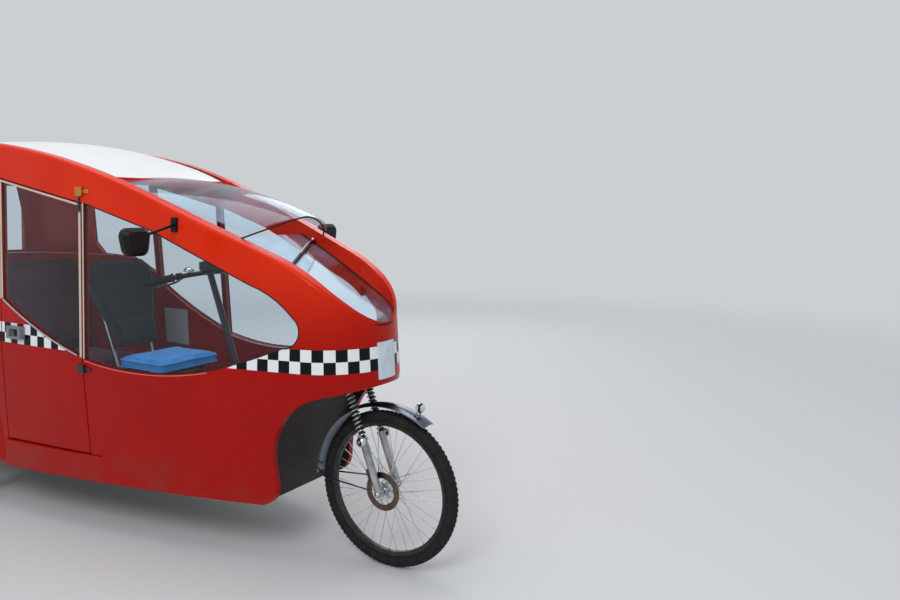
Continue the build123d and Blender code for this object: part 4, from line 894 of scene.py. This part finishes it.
def screw_heads(name, places, side, body, material):
    """Small domes on a hinge leaf, joined in one piece."""
    vertices, faces = [], []
    for x, z in places:
        centre = on_hull(x, z, side, 4.6)
        first = len(vertices)
        for lift, radius in SCREW_RINGS:
            for k in range(SCREW_CORNERS):
                t = FULL_TURN * k / SCREW_CORNERS
                vertices.append(centre + Vector((radius * math.cos(t), side * lift, radius * math.sin(t))))
        faces += ring_faces(SCREW_CORNERS, len(SCREW_RINGS), first, foot=False)
    new_mesh(name, vertices, faces, material, body)


HINGE_X, LOW_HINGE_Z, HIGH_HINGE_Z = -1362, 772, 1568
for side, word in SIDES:
    low_places = [(HINGE_X + dx, LOW_HINGE_Z) for dx in (20, 36)]
    high_places = [(HINGE_X + dx, HIGH_HINGE_Z) for dx in (20, 36)]
    door_places = [(HINGE_X - dx, LOW_HINGE_Z + dz) for dx in (20, 36) for dz in (-13, 13)]
    screw_heads(f"hinge_screws_body_low_{word}", low_places, side, "chassis", DARK_METAL)
    screw_heads(f"hinge_screws_door_low_{word}", door_places, side, f"door_{word}_set", DARK_METAL)
    screw_heads(f"hinge_screws_body_high_{word}", high_places, side, "chassis", BRASS)

rounded_plate("blank_card", *DOOR_CARD, on_panel(-1815, 815, 1, -27.2, -1), CARD, "door_left_set")


# Rear window seal and rings round the tail lamps, laid on the tail by rays from behind
def cast_forward(node, places):
    """Points on a node's surface seen from behind, from (y, z) places in mm."""
    tree = surface_tree(NODES[node].data)
    hits = [tree.ray_cast(at(-3500, y, z), AHEAD)[0] for y, z in places]
    return [point for point in hits if point is not None]


REAR_SEAL = [(y, 1226) for y in range(-330, 331, 30)] + [(334, z) for z in range(1234, 1640, 30)]
REAR_SEAL += [(y, 1644) for y in range(330, -331, -30)] + [(-334, z) for z in range(1636, 1230, -30)]
REAR_SEAL_RUN = cast_forward("rear_body_upper", REAR_SEAL)
wire("rear_window_seal", REAR_SEAL_RUN, 0.0045, SEAL, cyclic=True)

LAMP_Y, LAMP_Z, LAMP_RING = 350, 830, 45
for side, word in SIDES:
    turns = [FULL_TURN * k / 32 for k in range(32)]
    places = [(side * LAMP_Y + LAMP_RING * math.cos(t), LAMP_Z + LAMP_RING * math.sin(t)) for t in turns]
    ring = cast_forward("rear_body_lower", places)
    wire(f"tail_lamp_ring_{word}", ring, 0.0042, BLACK, cyclic=True)

# Ribbed mats on the floor, on each side of the spine
FLOOR_Z = 280.2
RIB_STEP, RIB_WIDTH, RIB_HEIGHT, MAT_HEIGHT = 14, 5, 5.0, 3.0


def floor_mat(name, x0, x1, y0, y1):
    """A thin mat with raised ribs across it."""
    middle, width = (y0 + y1) / 2, y1 - y0
    rows = [((x0 + x1) / 2, x1 - x0, width, MAT_HEIGHT)]
    rows += [(x, RIB_WIDTH, width - 16, RIB_HEIGHT) for x in range(x0 + 12, x1 - 6, RIB_STEP)]
    parts = [(at(x, middle, FLOOR_Z + h / 2), Vector((dx, dy, h)) / 1000, 0.0) for x, dx, dy, h in rows]
    blocks(name, parts, MAT, "chassis", 0.0008)


for row, x0, x1, outer_y in (("passenger", -1905, -1465, 372), ("driver", -1410, -725, 300)):
    floor_mat(f"{row}_mat_left", x0, x1, 28, outer_y)
    floor_mat(f"{row}_mat_right", x0, x1, -outer_y, -28)


# Cushions: stuffed by simulated air pressure, then piped round both rims
AIR_PRESSURE, AIR_FRAMES, WELT_RADIUS = 4.0, 20, 0.0032


def settle(piece):
    """Writes what the modifiers make into the piece's mesh and removes them."""
    graph = bpy.context.evaluated_depsgraph_get()
    graph.update()
    made = bpy.data.meshes.new_from_object(piece.evaluated_get(graph), depsgraph=graph)
    old = piece.data
    piece.modifiers.clear()
    piece.data = made
    bpy.data.meshes.remove(old)


def remeshed(name, vertices, faces, voxel):
    """A closed shape rebuilt with even faces."""
    piece = new_mesh(name, vertices, faces, smooth=False)
    modifier = piece.modifiers.new("even", "REMESH")
    modifier.mode = "VOXEL"
    modifier.voxel_size = voxel
    settle(piece)
    return piece


def inflate(piece, cap, half):
    """Cloth under air pressure. No point moves more than cap, and less towards the rim."""
    rest = [v.co.copy() for v in piece.data.vertices]
    settings = piece.modifiers.new("air", "CLOTH").settings
    settings.quality = 5
    settings.use_pressure = True
    settings.uniform_pressure_force = AIR_PRESSURE
    settings.effector_weights.gravity = 0
    scene = bpy.context.scene
    for step in range(AIR_FRAMES):
        scene.frame_set(step + 1)
    settle(piece)
    for vertex, start in zip(piece.data.vertices, rest):
        move = vertex.co - start
        rim = max(abs(start.y) / half[1], abs(start.z) / half[2])
        limit = cap * (1 - 0.62 * min(rim, 1.0) ** 2.4)
        if move.length > limit:
            vertex.co = start + move * (limit / move.length)
    scene.frame_set(1)


def dense(outline):
    """The closed outline with points no further apart than 20 mm."""
    return divided(outline + outline[:1], 0.02, math.ceil)[:-1]


def rounded_outline(half_across, half_up, corner=0.045, waist=0.007):
    """Outline with round corners whose sides pull in a little between them."""
    drawn = []
    for u, v in dense(corner_arcs(half_across, half_up, corner, 6)):
        pull_u = waist * max(0.0, 1 - (v / half_up) ** 2) * (abs(u) / half_across) ** 4
        pull_v = waist * max(0.0, 1 - (u / half_across) ** 2) * (abs(v) / half_up) ** 4
        drawn.append((u - math.copysign(pull_u, u), v - math.copysign(pull_v, v)))
    return drawn


def slab(outline, half_thick, bend):
    """Closed slab from an outline of (across, up) points, thick along X; bend brings its sides forward."""
    vertices = []
    for depth in (-half_thick, half_thick):
        vertices += [Vector((depth + bend * u * u, u, v)) for u, v in outline]
    return vertices, ring_faces(len(outline), 2)


def piping(name, piece, outline, depth, bend, material, place):
    """A round welt on the pad's surface along an outline at one depth."""
    tree = surface_tree(piece.data)
    run = []
    for u, v in outline:
        hit, normal, _, _ = tree.find_nearest(Vector((depth + bend * u * u, u, v)))
        run.append(place @ (hit + normal * WELT_RADIUS * 0.4))
    wire(name, run, WELT_RADIUS, material, cyclic=True)


# In a pad's own frame X runs through it, Y across and Z up. Half is its CAD block's half size, and gap
# keeps it off what carries it. Channels are axis, level, depth and spread.
def cushion(
    name, node, material, outline, thickness, half, place, voxel, cap,
    gap=0.0003, bend=0.0, channels=(),
):
    """One stuffed pad with welts and sewn channels, made in its own frame and set in place."""
    half_thick = thickness / 2
    piece = remeshed(name, *slab(dense(outline), half_thick, bend), voxel)
    inflate(piece, cap, half)
    for vertex in piece.data.vertices:
        for axis in range(3):
            vertex.co[axis] = max(-half[axis], min(half[axis], vertex.co[axis]))
        vertex.co.x = max(vertex.co.x, gap - half[0])
    for axis, level, depth, spread in channels:
        for vertex in piece.data.vertices:
            if vertex.co.x > 0:
                dip = math.exp(-((vertex.co[axis] - level) / spread) ** 2)
                vertex.co.x -= depth * dip * min(1.0, vertex.co.x / half_thick)
    for word, depth in (("front", half_thick), ("back", -half_thick)):
        piping(f"{name}_welt_{word}", piece, dense(outline), depth, bend, material, place)
    piece.data.transform(place)
    piece.data.materials.clear()
    piece.data.materials.append(material)
    piece.data.polygons.foreach_set("use_smooth", [True] * len(piece.data.polygons))
    smooth = piece.modifiers.new("smooth", "SUBSURF")
    smooth.levels = 1
    smooth.render_levels = 1
    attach(piece, "chassis")
    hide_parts(node)


def placed(centre, lean):
    """Place of a pad whose thickness runs forward and which leans back by an angle in degrees."""
    return Matrix.Translation(centre) @ Matrix.Rotation(-math.radians(lean), 4, "Y")


# Seat pads lie flat: their thickness runs up, so up in their own frame is backward
FLAT = 90
cushion(
    "driver_seat_pad",
    "driver_seat_cushion",
    BLUE,
    outline=rounded_outline(0.19, 0.17),
    thickness=0.038,
    half=(0.0375, 0.2, 0.18),
    place=placed(at(-1335, 0, 739.3), FLAT),
    voxel=0.006,
    cap=0.022,
)

BACK_SIDE = [(112, -232), (132, -150), (156, -60), (180, 30), (197, 100)]
BACK_SIDE += [(199, 150), (186, 195), (158, 224), (118, 236), (60, 238)]
BACK_SIDE = [(u / 1000, v / 1000) for u, v in BACK_SIDE]
cushion(
    "driver_back_pad",
    "driver_backrest",
    CHARCOAL,
    outline=BACK_SIDE + [(-u, v) for u, v in BACK_SIDE[::-1]],
    thickness=0.042,
    half=(0.0385, 0.214, 0.249),
    place=placed(at(-1655, 0, 1010), 21),
    voxel=0.006,
    cap=0.022,
    gap=0.0,
    bend=0.3,
    channels=((2, -0.09, 0.006, 0.012), (2, 0.12, 0.006, 0.012)),
)
cushion(
    "bench_seat_pad",
    "bench_cushions",
    MAROON,
    outline=rounded_outline(0.4, 0.24),
    thickness=0.062,
    half=(0.0535, 0.41, 0.25),
    place=placed(at(-2310, 0, 599.2), FLAT),
    voxel=0.008,
    cap=0.026,
    channels=((1, 0.0, 0.01, 0.012),),
)
cushion(
    "bench_back_pad",
    "bench_cushions",
    MAROON,
    outline=rounded_outline(0.4, 0.25),
    thickness=0.056,
    half=(0.0495, 0.41, 0.26),
    place=placed(at(-2632, 0, 925), 14),
    voxel=0.008,
    cap=0.024,
    channels=((1, 0.0, 0.01, 0.012), (2, 0.04, 0.007, 0.012)),
)

# Coil springs on the fork
COIL_RADIUS, COIL_WIRE, COIL_TURNS, COIL_GAP = 0.0165, 0.0031, 11, 0.003
for side, word in SIDES:
    foot = FRONT_HUB + SIDEWAYS * (side * FORK_HALF) + STEER_DIR * (SPRING_LOW + COIL_GAP)
    run = helix(foot, STEER_DIR, COIL_RADIUS, SPRING_HIGH - SPRING_LOW - 2 * COIL_GAP, COIL_TURNS)
    coil = wire(f"fork_spring_{word}", run, COIL_WIRE, STEEL, "steering_fork", resolution=2)
    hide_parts("fork_springs")


# Stage: floor, lights and camera
STUDIO_GREY = rgba(0.6, 0.62, 0.64)
FLOOR_HALF = 14
# Lamps: name, place, size and power
LAMPS = [
    ("key", (3.0, -5.5, 6.0), 3.0, 210),
    ("top", (-0.6, 0.6, 6.5), 4.5, 125),
    ("back", (-2.0, 6.0, 4.0), 4.0, 80),
]
LAMP_AIM = Vector((0.3, 0, 0.8))


def floor_finish():
    """Pale floor that fades into the background far from the object."""
    n = Nodes("floor")
    near = n.add("BsdfDiffuse", {"Color": rgba(0.62, 0.63, 0.64)})
    far = n.add("BsdfTransparent", {"Color": rgba(1, 1, 1)})
    distance = n.add("VectorMath", {0: n.coords()}, operation="LENGTH").outputs["Value"]
    fade = n.smooth_step(distance, 3.0, 11.0)
    return n.finish(n.add("MixShader", {0: fade, 1: near, 2: far}))


corners = [(FLOOR_HALF * x, FLOOR_HALF * y, 0) for x, y in ((-1, -1), (1, -1), (1, 1), (-1, 1))]
new_mesh("floor", corners, [(0, 1, 2, 3)], floor_finish(), smooth=False)
world = bpy.data.worlds.new("world")
world.use_nodes = True
bpy.context.scene.world = world
background = world.node_tree.nodes["Background"]
background.inputs[0].default_value = STUDIO_GREY
background.inputs[1].default_value = 1.0
for name, where, size, power in LAMPS:
    data = bpy.data.lights.new(name, "AREA")
    data.size = size
    data.energy = power
    lamp = add_object(name, data)
    lamp.location = where
    lamp.rotation_euler = (LAMP_AIM - Vector(where)).to_track_quat("-Z", "Y").to_euler()

# The photograph's camera, found from the wheel, the outline and the horizon
CAMERA_PLACE = Vector((1.728 + SHIFT, -2.443, 1.482))
CAMERA_LOOK = Vector((-0.5020, 0.8567, -0.1184))
CAMERA_ROLL = math.radians(0.14)
FOCAL_PIXELS = 740.64
IMAGE_WIDTH = 900
SENSOR_WIDTH = 36
data = bpy.data.cameras.new("camera")
data.sensor_width = SENSOR_WIDTH
data.lens = FOCAL_PIXELS / IMAGE_WIDTH * SENSOR_WIDTH
data.clip_start = 0.05
data.clip_end = 200
made = add_object("camera", data)
made.location = CAMERA_PLACE
made.rotation_mode = "QUATERNION"
turn = CAMERA_LOOK.normalized().to_track_quat("-Z", "Y").to_matrix().to_4x4()
made.rotation_quaternion = (turn @ Matrix.Rotation(CAMERA_ROLL, 4, "Z")).to_quaternion()
bpy.context.scene.camera = made
bpy.context.scene.view_settings.view_transform = "Standard"
